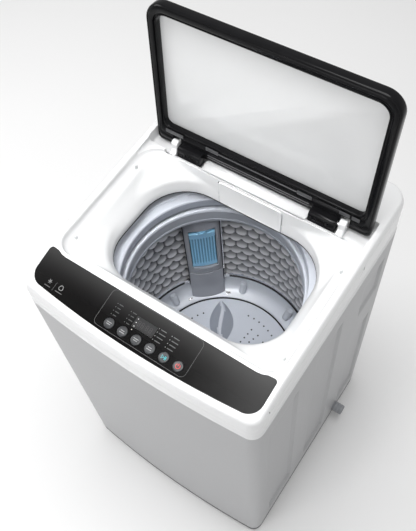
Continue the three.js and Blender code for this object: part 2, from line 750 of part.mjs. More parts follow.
function drawer() {
  const half = DRAWER_W / 2;
  const low = DRAWER_TOP_Z - DRAWER_H;
  const back = DRAWER_FRONT_Y + DRAWER_L;
  const wall = DRAWER_WALL;
  const trayHalf = half - TRAY_INSET;
  const trayTop = DRAWER_TOP_Z - TRAY_DROP;
  const trayFront = DRAWER_FRONT_Y + DRAWER_FACE_T;
  const compartment = (x0, x1) => box(x0, x1, trayFront + wall, back - wall,
    low + 2 + wall, trayTop + 1);
  const tray = cut(
    box(-trayHalf, trayHalf, trayFront - 1, back, low + 2, trayTop),
    compartment(-trayHalf + wall, -wall / 2),
    compartment(wall / 2, trayHalf - wall),
  );
  const front = box(-half, half, DRAWER_FRONT_Y, trayFront, low, DRAWER_TOP_Z);
  piece('detergent_drawer', join(tray, front), 'light_grey');

  const sleeve = half + DRAWER_GAP;
  const sleeveFront = POCKET_FRONT_Y + 2;
  const sleeveBack = back + DRAWER_GAP;
  const floor = low - DRAWER_GAP;
  const roof = POCKET_Z - COVER_WALL - GAP;
  const housing = cut(
    box(-sleeve - wall, sleeve + wall, sleeveFront, sleeveBack + wall, floor - wall, roof),
    box(-sleeve, sleeve, sleeveFront - 1, sleeveBack, floor, roof - wall),
    box(-sleeve + 10, sleeve - 10, POCKET_BACK_Y + 6, sleeveBack - 8, roof - wall - 1, roof + 1),
  );
  piece('drawer_housing', housing, 'white_plastic');
}

function waterInlet() {
  const y0 = DRAWER_FRONT_Y + DRAWER_L + DRAWER_GAP + DRAWER_WALL + 8;
  const bodyBack = BACK_Y - COVER_WALL - GAP;
  const stub = rodAlong('y', INLET_R, bodyBack - 2, BACK_Y + INLET_REACH, 20);
  stub.translate(INLET_X, 0, INLET_Z);
  const bore = rodAlong('y', INLET_R - 3, bodyBack + 6, BACK_Y + INLET_REACH + 1, 20);
  bore.translate(INLET_X, 0, INLET_Z);
  const coil = box(INLET_X - 14, INLET_X + 14, y0, bodyBack, INLET_Z - 16, INLET_Z + 14);
  const solenoid = rod(12, INLET_Z - 34, INLET_Z - 15, INLET_X, (y0 + bodyBack) / 2);
  piece('water_inlet_valve', cut(join(coil, solenoid, solid(stub)), solid(bore)), 'white_plastic');
}

// ---------------------------------------------------------------- tub

function rodPlaces() {
  const x = SIDE_X - ROD_SIDE_INSET;
  const frontY = ROD_FRONT_INSET - BACK_Y;
  const rearY = BACK_Y - ROD_REAR_INSET;
  return [
    ['front_left', -x, frontY],
    ['front_right', x, frontY],
    ['rear_left', -x, rearY],
    ['rear_right', x, rearY],
  ];
}

function outerTub() {
  const inner = TUB_R - TUB_WALL;
  const low = TUB_FLOOR_Z - TUB_FLOOR_T;
  const shaftHole = SPIN_SHAFT_R + 3;
  let tub = turned([
    [shaftHole, low], [92, low], [92, PLATE_TOP_Z + GAP], [98, PLATE_TOP_Z + GAP], [98, low],
    [TUB_R, low], [TUB_R, TUB_TOP_Z - GAP], [inner, TUB_TOP_Z - GAP],
    [inner, TUB_FLOOR_Z], [shaftHole, TUB_FLOOR_Z],
  ], DRUM_SEGMENTS, 0, DRUM_Y);
  for (const [, x, y] of rodPlaces()) {
    const reach = Math.hypot(x, y - DRUM_Y);
    const arm = new THREE.BoxGeometry(reach + 14 - inner, 36, LUG_T);
    arm.translate((inner + reach + 14) / 2, 0, LUG_Z + LUG_T / 2);
    arm.rotateZ(Math.atan2(y - DRUM_Y, x));
    arm.translate(0, DRUM_Y, 0);
    const lug = cut(solid(arm), rod(inner + 1, LUG_Z - 1, LUG_Z + LUG_T + 1, 0, DRUM_Y, DRUM_SEGMENTS));
    tub = cut(tub.add(lug), rod(ROD_R + 2, LUG_Z - 1, LUG_Z + LUG_T + 1, x, y, 12));
  }
  const drain = rod(DRAIN_R - 6, low - 1, TUB_FLOOR_Z + 1, VALVE_X, VALVE_Y);
  piece('outer_tub', cut(tub, drain), 'light_grey');

  const lip = RING_T;
  piece('tub_ring', turned([
    [RING_INNER_R, BALANCE_TOP_Z + 8], [RING_INNER_R + lip, BALANCE_TOP_Z + 8],
    [RING_INNER_R + lip, TUB_TOP_Z], [TUB_R + GAP, TUB_TOP_Z], [TUB_R + GAP, TUB_TOP_Z - 10],
    [TUB_R + GAP + 3, TUB_TOP_Z - 10], [TUB_R - 2, TUB_TOP_Z + 14],
    [RING_INNER_R + 21, TUB_TOP_Z + 11], [RING_INNER_R + 19, TUB_TOP_Z + lip],
    [RING_INNER_R, TUB_TOP_Z + lip],
  ], DRUM_SEGMENTS, 0, DRUM_Y), 'grey_plastic');
}

function suspension() {
  const reachX = 30;
  const inside = slab(cabinetPlan(SHEET + GAP), BRACKET_Z, BRACKET_Z + BRACKET_T);
  for (const [place, x, y] of rodPlaces()) {
    const outX = x + Math.sign(x) * 60;
    const inX = x - Math.sign(x) * reachX;
    const outY = y + Math.sign(y) * 90;
    const inY = y - Math.sign(y) * reachX;
    const plate = box(Math.min(inX, outX), Math.max(inX, outX), Math.min(inY, outY),
      Math.max(inY, outY), BRACKET_Z, BRACKET_Z + BRACKET_T);
    piece(`bracket_${place}`,
      cut(plate.intersect(inside), rod(ROD_R + 1, BRACKET_Z - 1, BRACKET_Z + 9, x, y, 12)),
      'bare_steel');

    const seat = BRACKET_Z + BRACKET_T + GAP;
    const hanger = turnedGeometry([
      [0, ROD_FOOT_Z], [16, ROD_FOOT_Z], [16, ROD_FOOT_Z + 6], [ROD_R, ROD_FOOT_Z + 6],
      [ROD_R, seat], [9, seat], [10, seat + 6], [6, seat + 12], [0, seat + 13],
    ], 12, x, y);
    piece(`rod_${place}`, hanger, 'bare_steel');

    const from = ROD_FOOT_Z + 6 + SPRING_WIRE + GAP;
    const to = LUG_Z - SPRING_WIRE - GAP;
    piece(`spring_${place}`, helix(from, to, x, y), 'bare_steel');
  }
}

function helix(z0, z1, x, y) {
  const points = [];
  const steps = SPRING_TURNS * SPRING_STEPS;
  for (let i = 0; i <= steps; i += 1) {
    const angle = (i / SPRING_STEPS) * 2 * Math.PI;
    const z = z0 + (z1 - z0) * (i / steps);
    points.push(new THREE.Vector3(SPRING_R * Math.cos(angle), SPRING_R * Math.sin(angle), z));
  }
  const geometry = new THREE.ExtrudeGeometry(polygon(SPRING_WIRE, 5), {
    steps, bevelEnabled: false, extrudePath: new THREE.CatmullRomCurve3(points),
  });
  geometry.translate(x, y, 0);
  return geometry;
}

// ---------------------------------------------------------------- drum

function drum() {
  const inner = DRUM_R - DRUM_WALL;
  const balanceLow = BALANCE_TOP_Z - BALANCE_H;
  piece('spin_drum', turned([
    [inner, SKIRT_TOP_Z + GAP], [DRUM_R, SKIRT_TOP_Z + GAP],
    [DRUM_R, balanceLow - GAP], [inner, balanceLow - GAP],
  ], DRUM_SEGMENTS, 0, DRUM_Y), 'stainless');

  piece('balance_ring', turned([
    [BALANCE_INNER_R, balanceLow], [DRUM_R + 4, balanceLow], [DRUM_R + 4, BALANCE_TOP_Z - 8],
    [BALANCE_INNER_R + 4, BALANCE_TOP_Z], [BALANCE_INNER_R, BALANCE_TOP_Z - 4],
  ], DRUM_SEGMENTS, 0, DRUM_Y), 'grey_plastic');

  const floor = DRUM_FLOOR_Z;
  const low = floor - DRUM_FLOOR_T;
  const hub = SHAFT_R + 4;
  piece('drum_base', turned([
    [hub, low], [DRUM_R - 14, low], [DRUM_R, low + 16], [DRUM_R, SKIRT_TOP_Z],
    [inner - 6, SKIRT_TOP_Z], ...skirtProfile(0), [WELL_R, floor], [hub, floor],
  ], DRUM_SEGMENTS, 0, DRUM_Y), 'grey_plastic');
}

// Inside of the drum base from its top down to the pulsator's well.
function skirtProfile(clear) {
  const inner = DRUM_R - DRUM_WALL - clear;
  return [
    [inner - 6, SKIRT_TOP_Z - 8],
    [inner - 14, DRUM_FLOOR_Z + 38 + clear],
    [WELL_R - clear, DRUM_FLOOR_Z + PULSATOR_RIM_H + clear],
  ];
}

// A frame whose +X points from the drum axis towards the filter, at the drum axis.
function towardsFilter(geometry) {
  const placed = geometry.clone();
  placed.rotateZ(THREE.MathUtils.degToRad(FILTER_ANGLE));
  placed.translate(0, DRUM_Y, 0);
  return placed;
}

function filterBox(r0, r1, half, z0, z1) {
  const geometry = new THREE.BoxGeometry(r1 - r0, 2 * half, z1 - z0);
  geometry.translate((r0 + r1) / 2, 0, (z0 + z1) / 2);
  return solid(towardsFilter(geometry));
}

function filter() {
  const clear = 0.4;
  const wall = DRUM_R - DRUM_WALL - clear;
  const face = wall - COLUMN_DEPTH;
  const low = DRUM_FLOOR_Z + PULSATOR_RIM_H + 1;
  const high = BALANCE_TOP_Z - BALANCE_H - 1;
  const space = turned([
    [0, low], ...skirtProfile(clear).reverse(), [wall - 6, SKIRT_TOP_Z + clear],
    [wall, SKIRT_TOP_Z + 1], [wall, high], [0, high],
  ], DRUM_SEGMENTS, 0, DRUM_Y);
  const pocketHalf = CASSETTE_W / 2 + CASSETTE_GAP;
  const pocketBack = face + CASSETTE_T + 6;
  const column = cut(
    space.intersect(filterBox(face, wall + 9, COLUMN_W / 2, low + 2, high)),
    filterBox(face - 9, pocketBack, pocketHalf, CASSETTE_Z - 3, CASSETTE_Z + CASSETTE_H + 16),
  );
  piece('filter_column', column, 'grey_plastic');

  const front = face + 0.5;
  const back = front + CASSETTE_T;
  const top = CASSETTE_Z + CASSETTE_H;
  const cassette = cut(
    join(
      filterBox(front, back, CASSETTE_W / 2, CASSETTE_Z, top),
      filterBox(front + 1, front + 5, 11, top - 1, top + 11),
    ),
    filterBox(front + 3, back + 1, CASSETTE_W / 2 - 3, CASSETTE_Z + 12, top - 3),
  );
  piece('lint_filter', cassette, 'blue_plastic');
}

// ---------------------------------------------------------------- pulsator and shafts

function pulsator() {
  const rim = DRUM_FLOOR_Z + PULSATOR_RIM_H;
  const screwHole = 5;
  const domeTop = rim + 8;
  const disc = turned([
    [screwHole, PULSATOR_Z], [PULSATOR_R, PULSATOR_Z], [PULSATOR_R, rim + 1],
    [PULSATOR_R - 12, rim], [PULSATOR_R * 0.6, rim - 7], [44, rim - 6], [24, domeTop],
    [screwHole, domeTop],
  ], DRUM_SEGMENTS, 0, DRUM_Y);
  const blades = [];
  for (let i = 0; i < BLADES; i += 1) {
    const leaf = new THREE.SphereGeometry(1, 14, 9);
    leaf.rotateX(Math.PI / 2);
    leaf.scale((PULSATOR_R - 58) / 2, 25, 30);
    leaf.translate((PULSATOR_R + 46) / 2, 0, rim - 8);
    leaf.rotateZ(THREE.MathUtils.degToRad(BLADE_ANGLE + (i * 360) / BLADES));
    leaf.translate(0, DRUM_Y, 0);
    blades.push(solid(leaf));
  }
  const under = rod(PULSATOR_R - 5, PULSATOR_Z - 60, PULSATOR_Z, 0, DRUM_Y, DRUM_SEGMENTS);
  piece('pulsator', cut(join(disc, ...blades), under), 'light_grey');

  piece('pulsator_screw', turnedGeometry([
    [0, PULSATOR_Z + 1], [screwHole - GAP, PULSATOR_Z + 1], [screwHole - GAP, domeTop + GAP],
    [14, domeTop + GAP], [14, domeTop + 4], [10, domeTop + 7], [0, domeTop + 8],
  ], 20, 0, DRUM_Y), 'bare_steel');

  piece('drive_shaft', turnedGeometry([
    [0, PULLEY_Z - 12], [SHAFT_R, PULLEY_Z - 12], [SHAFT_R, PULSATOR_Z - GAP],
    [0, PULSATOR_Z - GAP],
  ], 20, 0, DRUM_Y), 'bare_steel');

  const hubLow = DRUM_FLOOR_Z - DRUM_FLOOR_T - GAP;
  const bore = SHAFT_R + SHAFT_GAP;
  piece('spin_shaft', turnedGeometry([
    [bore, CLUTCH_TOP_Z - 50], [SPIN_SHAFT_R, CLUTCH_TOP_Z - 50],
    [SPIN_SHAFT_R, TUB_FLOOR_Z + 4], [40, TUB_FLOOR_Z + 8], [86, hubLow - 6], [86, hubLow],
    [bore, hubLow],
  ], 20, 0, DRUM_Y), 'aluminium');
}

// ---------------------------------------------------------------- drive under the tub

function grooved(r, bore, x, segments) {
  const z = PULLEY_Z;
  const side = (PULLEY_H - BELT_T) / 2 - GAP;
  return turnedGeometry([
    [bore, z], [r, z], [r, z + side], [r - GROOVE, z + side + 0.1],
    [r - GROOVE, z + PULLEY_H - side - 0.1], [r, z + PULLEY_H - side], [r, z + PULLEY_H],
    [bore, z + PULLEY_H],
  ], segments, x, DRUM_Y);
}

// Outline of a belt around both pulleys, at a distance from their axes.
function beltLoop(big, small, PathClass) {
  const turn = Math.acos((big - small) / MOTOR_X);
  const path = new PathClass();
  path.absarc(0, 0, big, turn, 2 * Math.PI - turn, false);
  path.absarc(MOTOR_X, 0, small, -turn, turn, false);
  path.closePath();
  return path;
}

function drive() {
  const bore = SPIN_SHAFT_R + SHAFT_GAP;
  const low = CLUTCH_TOP_Z - CLUTCH_H;
  piece('clutch_housing', turned([
    [bore, low], [CLUTCH_R - 6, low], [CLUTCH_R, low + 10], [CLUTCH_R, CLUTCH_TOP_Z - 14],
    [CLUTCH_R + 14, CLUTCH_TOP_Z - 6], [CLUTCH_R + 14, CLUTCH_TOP_Z], [bore, CLUTCH_TOP_Z],
  ], 20, 0, DRUM_Y), 'aluminium');

  const plateLow = PLATE_TOP_Z - PLATE_T;
  const plate = roundedSlab((MOTOR_X + 170) / 2, -84, 84, 24, 24, plateLow, PLATE_TOP_Z);
  const shaftHole = rod(SPIN_SHAFT_R + 2, plateLow - 1, PLATE_TOP_Z + 1,
    -(MOTOR_X - 26) / 2, 0, 24);
  const plateMesh = piece('mounting_plate', cut(plate, shaftHole), 'bare_steel');
  plateMesh.position.set((MOTOR_X - 26) / 2, DRUM_Y, 0);

  piece('clutch_pulley', grooved(CLUTCH_PULLEY_R, SHAFT_R + SHAFT_GAP, 0, 20), 'aluminium');

  const shaftR = MOTOR_SHAFT_R;
  const motorLow = plateLow - GAP - MOTOR_H;
  piece('motor', turnedGeometry([
    [0, PULLEY_Z - 4], [shaftR, PULLEY_Z - 4], [shaftR, motorLow], [MOTOR_R - 8, motorLow],
    [MOTOR_R, motorLow + 12], [MOTOR_R, motorLow + MOTOR_H - 12],
    [MOTOR_R - 10, motorLow + MOTOR_H], [0, motorLow + MOTOR_H],
  ], 20, MOTOR_X, DRUM_Y), 'bare_steel');
  piece('motor_pulley', grooved(MOTOR_PULLEY_R, shaftR + SHAFT_GAP, MOTOR_X, 16), 'aluminium');

  const clear = 0.5;
  const bigR = CLUTCH_PULLEY_R - GROOVE + clear;
  const smallR = MOTOR_PULLEY_R - GROOVE + clear;
  const loop = beltLoop(bigR + BELT_T, smallR + BELT_T, THREE.Shape);
  loop.holes.push(beltLoop(bigR, smallR, THREE.Path));
  const beltZ = PULLEY_Z + (PULLEY_H - BELT_T) / 2;
  const belt = new THREE.ExtrudeGeometry(loop,
    { depth: BELT_T, bevelEnabled: false, curveSegments: 10 });
  belt.translate(0, DRUM_Y, beltZ);
  piece('drive_belt', belt, 'rubber');
}

// ---------------------------------------------------------------- drain and electrics

function drain() {
  const top = TUB_FLOOR_Z - TUB_FLOOR_T - GAP;
  const outletZ = top - 34;
  const outlet = rodAlong('x', BARB_R, 0, 40, 16);
  outlet.translate(VALVE_X, VALVE_Y, outletZ);
  const bore = rodAlong('x', BARB_R - 2, 4, 50, 16);
  bore.translate(VALVE_X, VALVE_Y, outletZ);
  const chamber = rod(DRAIN_R, top - 56, top, VALVE_X, VALVE_Y, 20);
  const well = rod(DRAIN_R - 5, top - 48, top + 1, VALVE_X, VALVE_Y, 20);
  const actuator = box(VALVE_X - 66, VALVE_X - DRAIN_R + 2, VALVE_Y - 13, VALVE_Y + 13,
    top - 52, top - 22);
  piece('drain_valve',
    cut(join(chamber, solid(outlet), actuator), well, solid(bore)), 'dark_plastic');

  const spigot = turnedGeometry([
    [BARB_R - 2, -HOSE_LAP], [BARB_R, -HOSE_LAP], [BARB_R, -7],
    [SPIGOT_R + 5, -7], [SPIGOT_R + 5, -3], [SPIGOT_R, -3], [SPIGOT_R, SPIGOT_REACH],
    [SPIGOT_R - 2, SPIGOT_REACH], [SPIGOT_R - 2, 0], [BARB_R - 2, -4],
  ], 16);
  spigot.rotateY(Math.PI / 2);
  spigot.translate(SIDE_X, SPIGOT_Y, SPIGOT_Z);
  piece('drain_spigot', spigot, 'grey_plastic');

  const x0 = VALVE_X + DRAIN_R + 4;
  const x1 = SIDE_X - 7 - GAP - 3;
  const route = new THREE.CatmullRomCurve3([
    new THREE.Vector3(x0, VALVE_Y, outletZ),
    new THREE.Vector3(x0 + 18, VALVE_Y, outletZ),
    new THREE.Vector3(x0 + 36, VALVE_Y, outletZ - 1),
    new THREE.Vector3(x0 + 95, VALVE_Y + 40, outletZ - 40),
    new THREE.Vector3(x0 + 160, VALVE_Y + 60, SPIGOT_Z + 60),
    new THREE.Vector3(x1 - 90, SPIGOT_Y + 14, SPIGOT_Z + 8),
    new THREE.Vector3(x1 - 40, SPIGOT_Y + 1, SPIGOT_Z),
    new THREE.Vector3(x1 - 20, SPIGOT_Y, SPIGOT_Z),
    new THREE.Vector3(x1, SPIGOT_Y, SPIGOT_Z),
  ]);
  const section = polygon(HOSE_R, 8);
  section.holes.push(new THREE.Path(polygon(HOSE_R - HOSE_WALL, 8).getPoints().reverse()));
  piece('drain_hose', new THREE.ExtrudeGeometry(section,
    { steps: 14, bevelEnabled: false, extrudePath: route }), 'grey_plastic');
}

function capacitor() {
  const x = -SIDE_X + REAR_FLANGE + CAPACITOR_R + 22;
  const y = BACK_Y - CAPACITOR_R - 6;
  const clip = CAPACITOR_Z + CAPACITOR_H / 2;
  piece('capacitor', join(
    rod(CAPACITOR_R, CAPACITOR_Z, CAPACITOR_Z + CAPACITOR_H, x, y, 20),
    box(x - CAPACITOR_R, x + CAPACITOR_R, y + 10, BACK_Y, clip - 12, clip + 12),
  ), 'light_grey');
}

cabinetShell();
baseFrame();
cableGland();
topCover();
controls();
lid();
lidSwitch();
drawer();
waterInlet();
outerTub();
suspension();
drum();
filter();
pulsator();
drive();
drain();
capacitor();

machine.position.set(
  -SPIGOT_REACH / 2,
  (FRONT_BOW - INLET_REACH) / 2,
  0,
);

export default machine;
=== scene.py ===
# %% [markdown]
# # A top load washing machine with its lid open
# The working model is loaded first as a fixed frame of named pieces. Each finished piece below is
# modelled in millimetres in the machine's own plan, with x and y from the cabinet's middle and z
# from the floor. `place` turns such a point into metres in the shared frame.

# %% Load the frame
import math
import bmesh
import bpy
from mathutils import Matrix, Vector


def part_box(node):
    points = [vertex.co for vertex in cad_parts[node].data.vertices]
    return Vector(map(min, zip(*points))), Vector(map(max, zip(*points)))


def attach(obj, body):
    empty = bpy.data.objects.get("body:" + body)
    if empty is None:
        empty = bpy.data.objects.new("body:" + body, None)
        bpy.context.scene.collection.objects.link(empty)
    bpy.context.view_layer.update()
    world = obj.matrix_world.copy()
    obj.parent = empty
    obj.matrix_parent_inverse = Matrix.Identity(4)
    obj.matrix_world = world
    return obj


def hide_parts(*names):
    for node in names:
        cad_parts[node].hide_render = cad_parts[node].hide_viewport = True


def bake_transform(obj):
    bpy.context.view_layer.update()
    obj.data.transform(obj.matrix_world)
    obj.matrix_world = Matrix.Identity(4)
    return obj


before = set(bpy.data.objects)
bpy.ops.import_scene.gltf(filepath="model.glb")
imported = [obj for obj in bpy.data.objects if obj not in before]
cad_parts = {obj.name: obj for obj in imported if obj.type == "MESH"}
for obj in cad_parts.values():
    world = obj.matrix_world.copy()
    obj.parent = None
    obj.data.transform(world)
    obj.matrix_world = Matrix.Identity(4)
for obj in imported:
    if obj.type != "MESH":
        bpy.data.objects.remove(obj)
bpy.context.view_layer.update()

# %% Sizes read from the frame
MM = 0.001
QUARTER = math.pi / 2
sides = (-1, 1)
BODY_DEPTH = 560
COVER_RISE = 95


def extent(node, axis):
    """Lowest and highest place of a node along an axis, in millimetres of the shared frame."""
    low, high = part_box(node)
    return low[axis] / MM, high[axis] / MM


shell_x = extent("cabinet_shell", 0)
MID_X = sum(shell_x) / 2
SIDE_X = (shell_x[1] - shell_x[0]) / 2
MID_Y = extent("cabinet_shell", 1)[1] - BODY_DEPTH / 2
BACK_Y = extent("cabinet_shell", 1)[1] - MID_Y
FRONT_BOW = -BACK_Y - (extent("cabinet_shell", 1)[0] - MID_Y)
SHELL_Z, SEAM_Z = extent("cabinet_shell", 2)
RIM_Z = SEAM_Z + COVER_RISE
DRUM_Y = -18
TUB_R = SIDE_X - 19
DRUM_R = TUB_R - 19
SHEET_R = DRUM_R - 0.6
SPIGOT_Y, SPIGOT_Z = 130, 62
CORD_X, CORD_Z = 150, 700
INLET_X, INLET_Z = -150, SEAM_Z + 50
MOTOR_X = 132
print("cabinet", 2 * SIDE_X, "wide,", 2 * BACK_Y, "deep, seam at", round(SEAM_Z))


def place(x, y, z):
    """A point of the machine's plan, in metres of the shared frame."""
    return Vector((x + MID_X, y + MID_Y, z)) * MM


# %% [markdown]
# ## Camera
# It looks down steeply over the front left corner, turned a little on its own axis, as a catalogue
# view of the open drum. It is made first, so that every later choice can be judged from it.

# %% Camera
VIEW_TURN = math.radians(44.2)
VIEW_RISE = math.radians(58.06)
VIEW_ROLL = math.radians(-10.25)
VIEW_DISTANCE = 1607.6
VIEW_TARGET = (-133.4, 27.4, 621.5)
VIEW_LENS = 47.02
VIEW_SHIFT = (0.0544, -0.0022)

back = Vector((math.sin(VIEW_TURN) * math.cos(VIEW_RISE),
               -math.cos(VIEW_TURN) * math.cos(VIEW_RISE), math.sin(VIEW_RISE)))
level_right = Vector((0, 0, 1)).cross(back).normalized()
level_up = back.cross(level_right)
right = math.cos(VIEW_ROLL) * level_right + math.sin(VIEW_ROLL) * level_up
up = -math.sin(VIEW_ROLL) * level_right + math.cos(VIEW_ROLL) * level_up

bpy.ops.object.select_all(action="DESELECT")
bpy.ops.object.camera_add()
camera = bpy.context.object
camera.name = "camera"
camera.matrix_world = Matrix.Translation(
    place(*VIEW_TARGET) + back * VIEW_DISTANCE * MM) @ Matrix((right, up, back)).transposed().to_4x4()
camera.data.lens = VIEW_LENS
camera.data.sensor_width = 36
camera.data.shift_x, camera.data.shift_y = VIEW_SHIFT
bpy.context.scene.camera = camera
print("camera at", [round(c, 3) for c in camera.location])

# %% [markdown]
# ## Floor and light
# A bright, even sky keeps the white plastic white. Three large soft lamps give the black gloss its
# long highlights, and a small one over the opening lights the drum. The floor is laid at the end.

# %% Sky and lamps


def deselect():
    """Leaves nothing selected, in object mode."""
    if bpy.context.object and bpy.context.object.mode != "OBJECT":
        bpy.ops.object.mode_set(mode="OBJECT")
    bpy.ops.object.select_all(action="DESELECT")


def lamp(name, location, target, size, power):
    """A large soft lamp turned towards a point, all in metres."""
    deselect()
    bpy.ops.object.light_add(type="AREA", location=location)
    light = bpy.context.object
    light.name = name
    light.data.shape = "DISK"
    light.data.size = size
    light.data.energy = power
    aim = Vector(target) - Vector(location)
    light.rotation_euler = aim.to_track_quat("-Z", "Y").to_euler()
    return light.data


lamp("lamp_left", (-2.4, -0.6, 2.6), (0, 0, 0.6), 1.6, 34)
lamp("lamp_front", (-0.6, -2.9, 2.2), (0, 0, 0.6), 1.8, 20)
lamp("lamp_top", (0.1, 0.0, 3.4), (0, 0, 0.4), 1.6, 44)
drum_lamp = lamp("lamp_drum", (0.0, -0.42, 1.75), (-0.06, 0.1, 0.5), 0.35, 0.55)
drum_lamp.spread = math.radians(38)

world = bpy.data.worlds.new("studio")
bpy.context.scene.world = world
world.use_nodes = True
sky = world.node_tree.nodes["Background"].inputs
sky["Color"].default_value = (1, 1, 1, 1)
sky["Strength"].default_value = 0.52
bpy.context.scene.view_settings.view_transform = "Standard"

# %% [markdown]
# ## Writing materials as sums
# Shader maths reads best as a sum, so one small class wraps a node's output and turns + - * / into
# Math nodes. Everything else comes from one method, which adds a node of any type.

# %% A socket that can be calculated with


class Value:
    """A node output that takes part in sums."""

    def __init__(self, tree, socket):
        self.tree = tree
        self.socket = socket

    def _math(self, operation, *values):
        node = self.tree.nodes.new("ShaderNodeMath")
        node.operation = operation
        for slot_in, value in zip(node.inputs, values):
            if isinstance(value, Value):
                self.tree.links.new(value.socket, slot_in)
            else:
                slot_in.default_value = value
        return Value(self.tree, node.outputs[0])

    def __add__(self, other):
        return self._math("ADD", self, other)

    def __radd__(self, other):
        return self._math("ADD", other, self)

    def __sub__(self, other):
        return self._math("SUBTRACT", self, other)

    def __rsub__(self, other):
        return self._math("SUBTRACT", other, self)

    def __mul__(self, other):
        return self._math("MULTIPLY", self, other)

    def __truediv__(self, other):
        return self._math("DIVIDE", self, other)

    def root(self):
        return self._math("SQRT", self)

    def between(self, low, high):
        """0 below low, 1 above high, straight in between."""
        return self._math("MAXIMUM", self._math("MINIMUM", (self - low) / (high - low), 1), 0)


class Paint:
    """A material under construction, with one method that adds any node."""

    def __init__(self, name):
        self.material = bpy.data.materials.new(name)
        self.material.use_nodes = True
        self.tree = self.material.node_tree
        self.shader = self.tree.nodes["Principled BSDF"]

    def node(self, kind, output=0, stops=(), **inputs):
        node = self.tree.nodes.new("ShaderNode" + kind)
        for index, (at, colour) in enumerate(stops):
            ramp = node.color_ramp.elements
            element = ramp[index] if index < 2 else ramp.new(at)
            element.position = at
            element.color = (*colour, 1)
        for key, value in inputs.items():
            self.feed(node.inputs[key.replace("_", " ")], value)
        return Value(self.tree, node.outputs[output])

    def feed(self, target, value):
        if isinstance(value, Value):
            self.tree.links.new(value.socket, target)
        elif target.type == "RGBA":
            target.default_value = (*value[:3], 1)
        else:
            target.default_value = value

    def set(self, **inputs):
        for key, value in inputs.items():
            self.feed(self.shader.inputs[key.replace("_", " ")], value)

    def place(self):
        """Object coordinates: metres of the shared frame, as finished objects stand at its origin."""
        return self.node("TexCoord", output="Object")

    def axes(self):
        """x and y in millimetres of the machine's plan."""
        split = self.tree.nodes.new("ShaderNodeSeparateXYZ")
        self.feed(split.inputs[0], self.place())
        x, y, _ = (Value(self.tree, out) / MM for out in split.outputs)
        return x - MID_X, y - MID_Y

    def noise(self, scale, detail=3):
        return self.node("TexNoise", Vector=self.place(), Scale=scale, Detail=detail)

    def mix(self, factor, one, other):
        """A colour between two colours."""
        node = self.tree.nodes.new("ShaderNodeMix")
        node.data_type = "RGBA"
        self.feed(node.inputs[0], factor)
        self.feed(node.inputs[6], one)
        self.feed(node.inputs[7], other)
        return Value(self.tree, node.outputs[2])

    def bump(self, height, strength, distance=0.001):
        return self.node("Bump", Height=height, Strength=strength, Distance=distance)


# %% [markdown]
# ## Finishes
# Moulded plastic is never quite even: its colour drifts a little and its gloss has faint ripples
# from the mould. Each finish is built from those small differences.

# %% Moulded plastic


def plastic(name, colour, roughness, grain=0.02, grain_scale=1800, drift=0.04, coat=0.0):
    """Moulded plastic: a slow drift of colour, a ripple in its gloss and a fine grain."""
    paint = Paint(name)
    slow = paint.noise(6, detail=2)
    fine = paint.noise(grain_scale, detail=2)
    darker = [c * (1 - drift) for c in colour]
    paint.set(Base_Color=paint.mix(slow, darker, colour),
              Roughness=roughness + (slow - 0.5) * 0.08 + (fine - 0.5) * 0.05,
              Normal=paint.bump(fine, grain, 0.0003))
    if coat:
        paint.set(Coat_Weight=coat, Coat_Roughness=0.04)
    return paint.material


white = plastic("white_gloss", (0.76, 0.765, 0.77), 0.24, grain=0.03, grain_scale=900, drift=0.015,
                coat=0.25)
white_inner = plastic("white_satin", (0.74, 0.75, 0.76), 0.4, grain=0.12)
# Painted shade: this darker blue grey is the pale plastic in shade, on the tub ring's walls and the
# blades' flanks.
tub_painted_shade = plastic("blue_grey_painted_shade", (0.3, 0.325, 0.375), 0.3, grain=0.08, grain_scale=1400)
tub_pale = plastic("pale_blue_grey", (0.58, 0.61, 0.67), 0.26, grain=0.06, grain_scale=1400)
# Painted shade: the balance ring's walls below its crest, and the filter column's pocket and flanks.
dark_painted_shade = plastic("shaded_grey", (0.3, 0.32, 0.36), 0.34, grain=0.08)
rotor_grey = plastic("pulsator_grey", (0.52, 0.55, 0.61), 0.27, grain=0.08)
charcoal = plastic("charcoal", (0.042, 0.044, 0.047), 0.55, grain=0.25, grain_scale=2600, drift=0.2)
# Painted shade: the drum bowl's upper wall under the steel.
bowl_painted_shade = plastic("mid_grey", (0.52, 0.55, 0.6), 0.32, grain=0.08)
column_grey = plastic("column_grey", (0.33, 0.345, 0.385), 0.36, grain=0.1)
light_grey = plastic("pale_plastic", (0.55, 0.57, 0.59), 0.38, grain=0.1)
spigot_grey = plastic("spigot_grey", (0.3, 0.31, 0.33), 0.4, grain=0.1)
blue = plastic("cassette_blue", (0.3, 0.62, 0.88), 0.36, grain=0.12, drift=0.1)
# Painted shade: the grooves between the cassette's ribs.
groove_painted_shade = plastic("cassette_shade", (0.12, 0.33, 0.52), 0.5, grain=0.12)
# Painted shade: this black stands in slot bottoms, a groove, gaps between parts and holes.
black_painted_shade = plastic("black_painted_shade", (0.008, 0.008, 0.009), 0.5, grain=0.15)
board_green = plastic("solder_mask", (0.02, 0.11, 0.05), 0.35, grain=0.3, grain_scale=700)
print("plastics made")

# %% [markdown]
# The black lid frame and control panel are high gloss. The panel's colour turns from black at the
# front to dark grey at the back.

# %% Black gloss
gloss = Paint("black_gloss")
swirl = gloss.noise(40, detail=4)
gloss.set(Base_Color=gloss.mix(swirl, (0.004, 0.004, 0.0045), (0.009, 0.009, 0.01)),
          Roughness=0.1 + swirl * 0.06,
          Normal=gloss.bump(gloss.noise(120), 0.02, 0.0003), Specular_IOR_Level=0.13)
black_gloss = gloss.material


def panel_black(name, front_y, back_y):
    """Black at the front edge, fading to dark grey at the back edge."""
    paint = Paint(name)
    fade = paint.axes()[1].between(front_y, back_y)
    haze = paint.noise(55, detail=4)
    paint.set(Base_Color=paint.mix(fade * fade, (0.003, 0.0028, 0.0028), (0.04, 0.04, 0.04)),
              Roughness=0.16 + haze * 0.07, Specular_IOR_Level=0.12)
    return paint.material


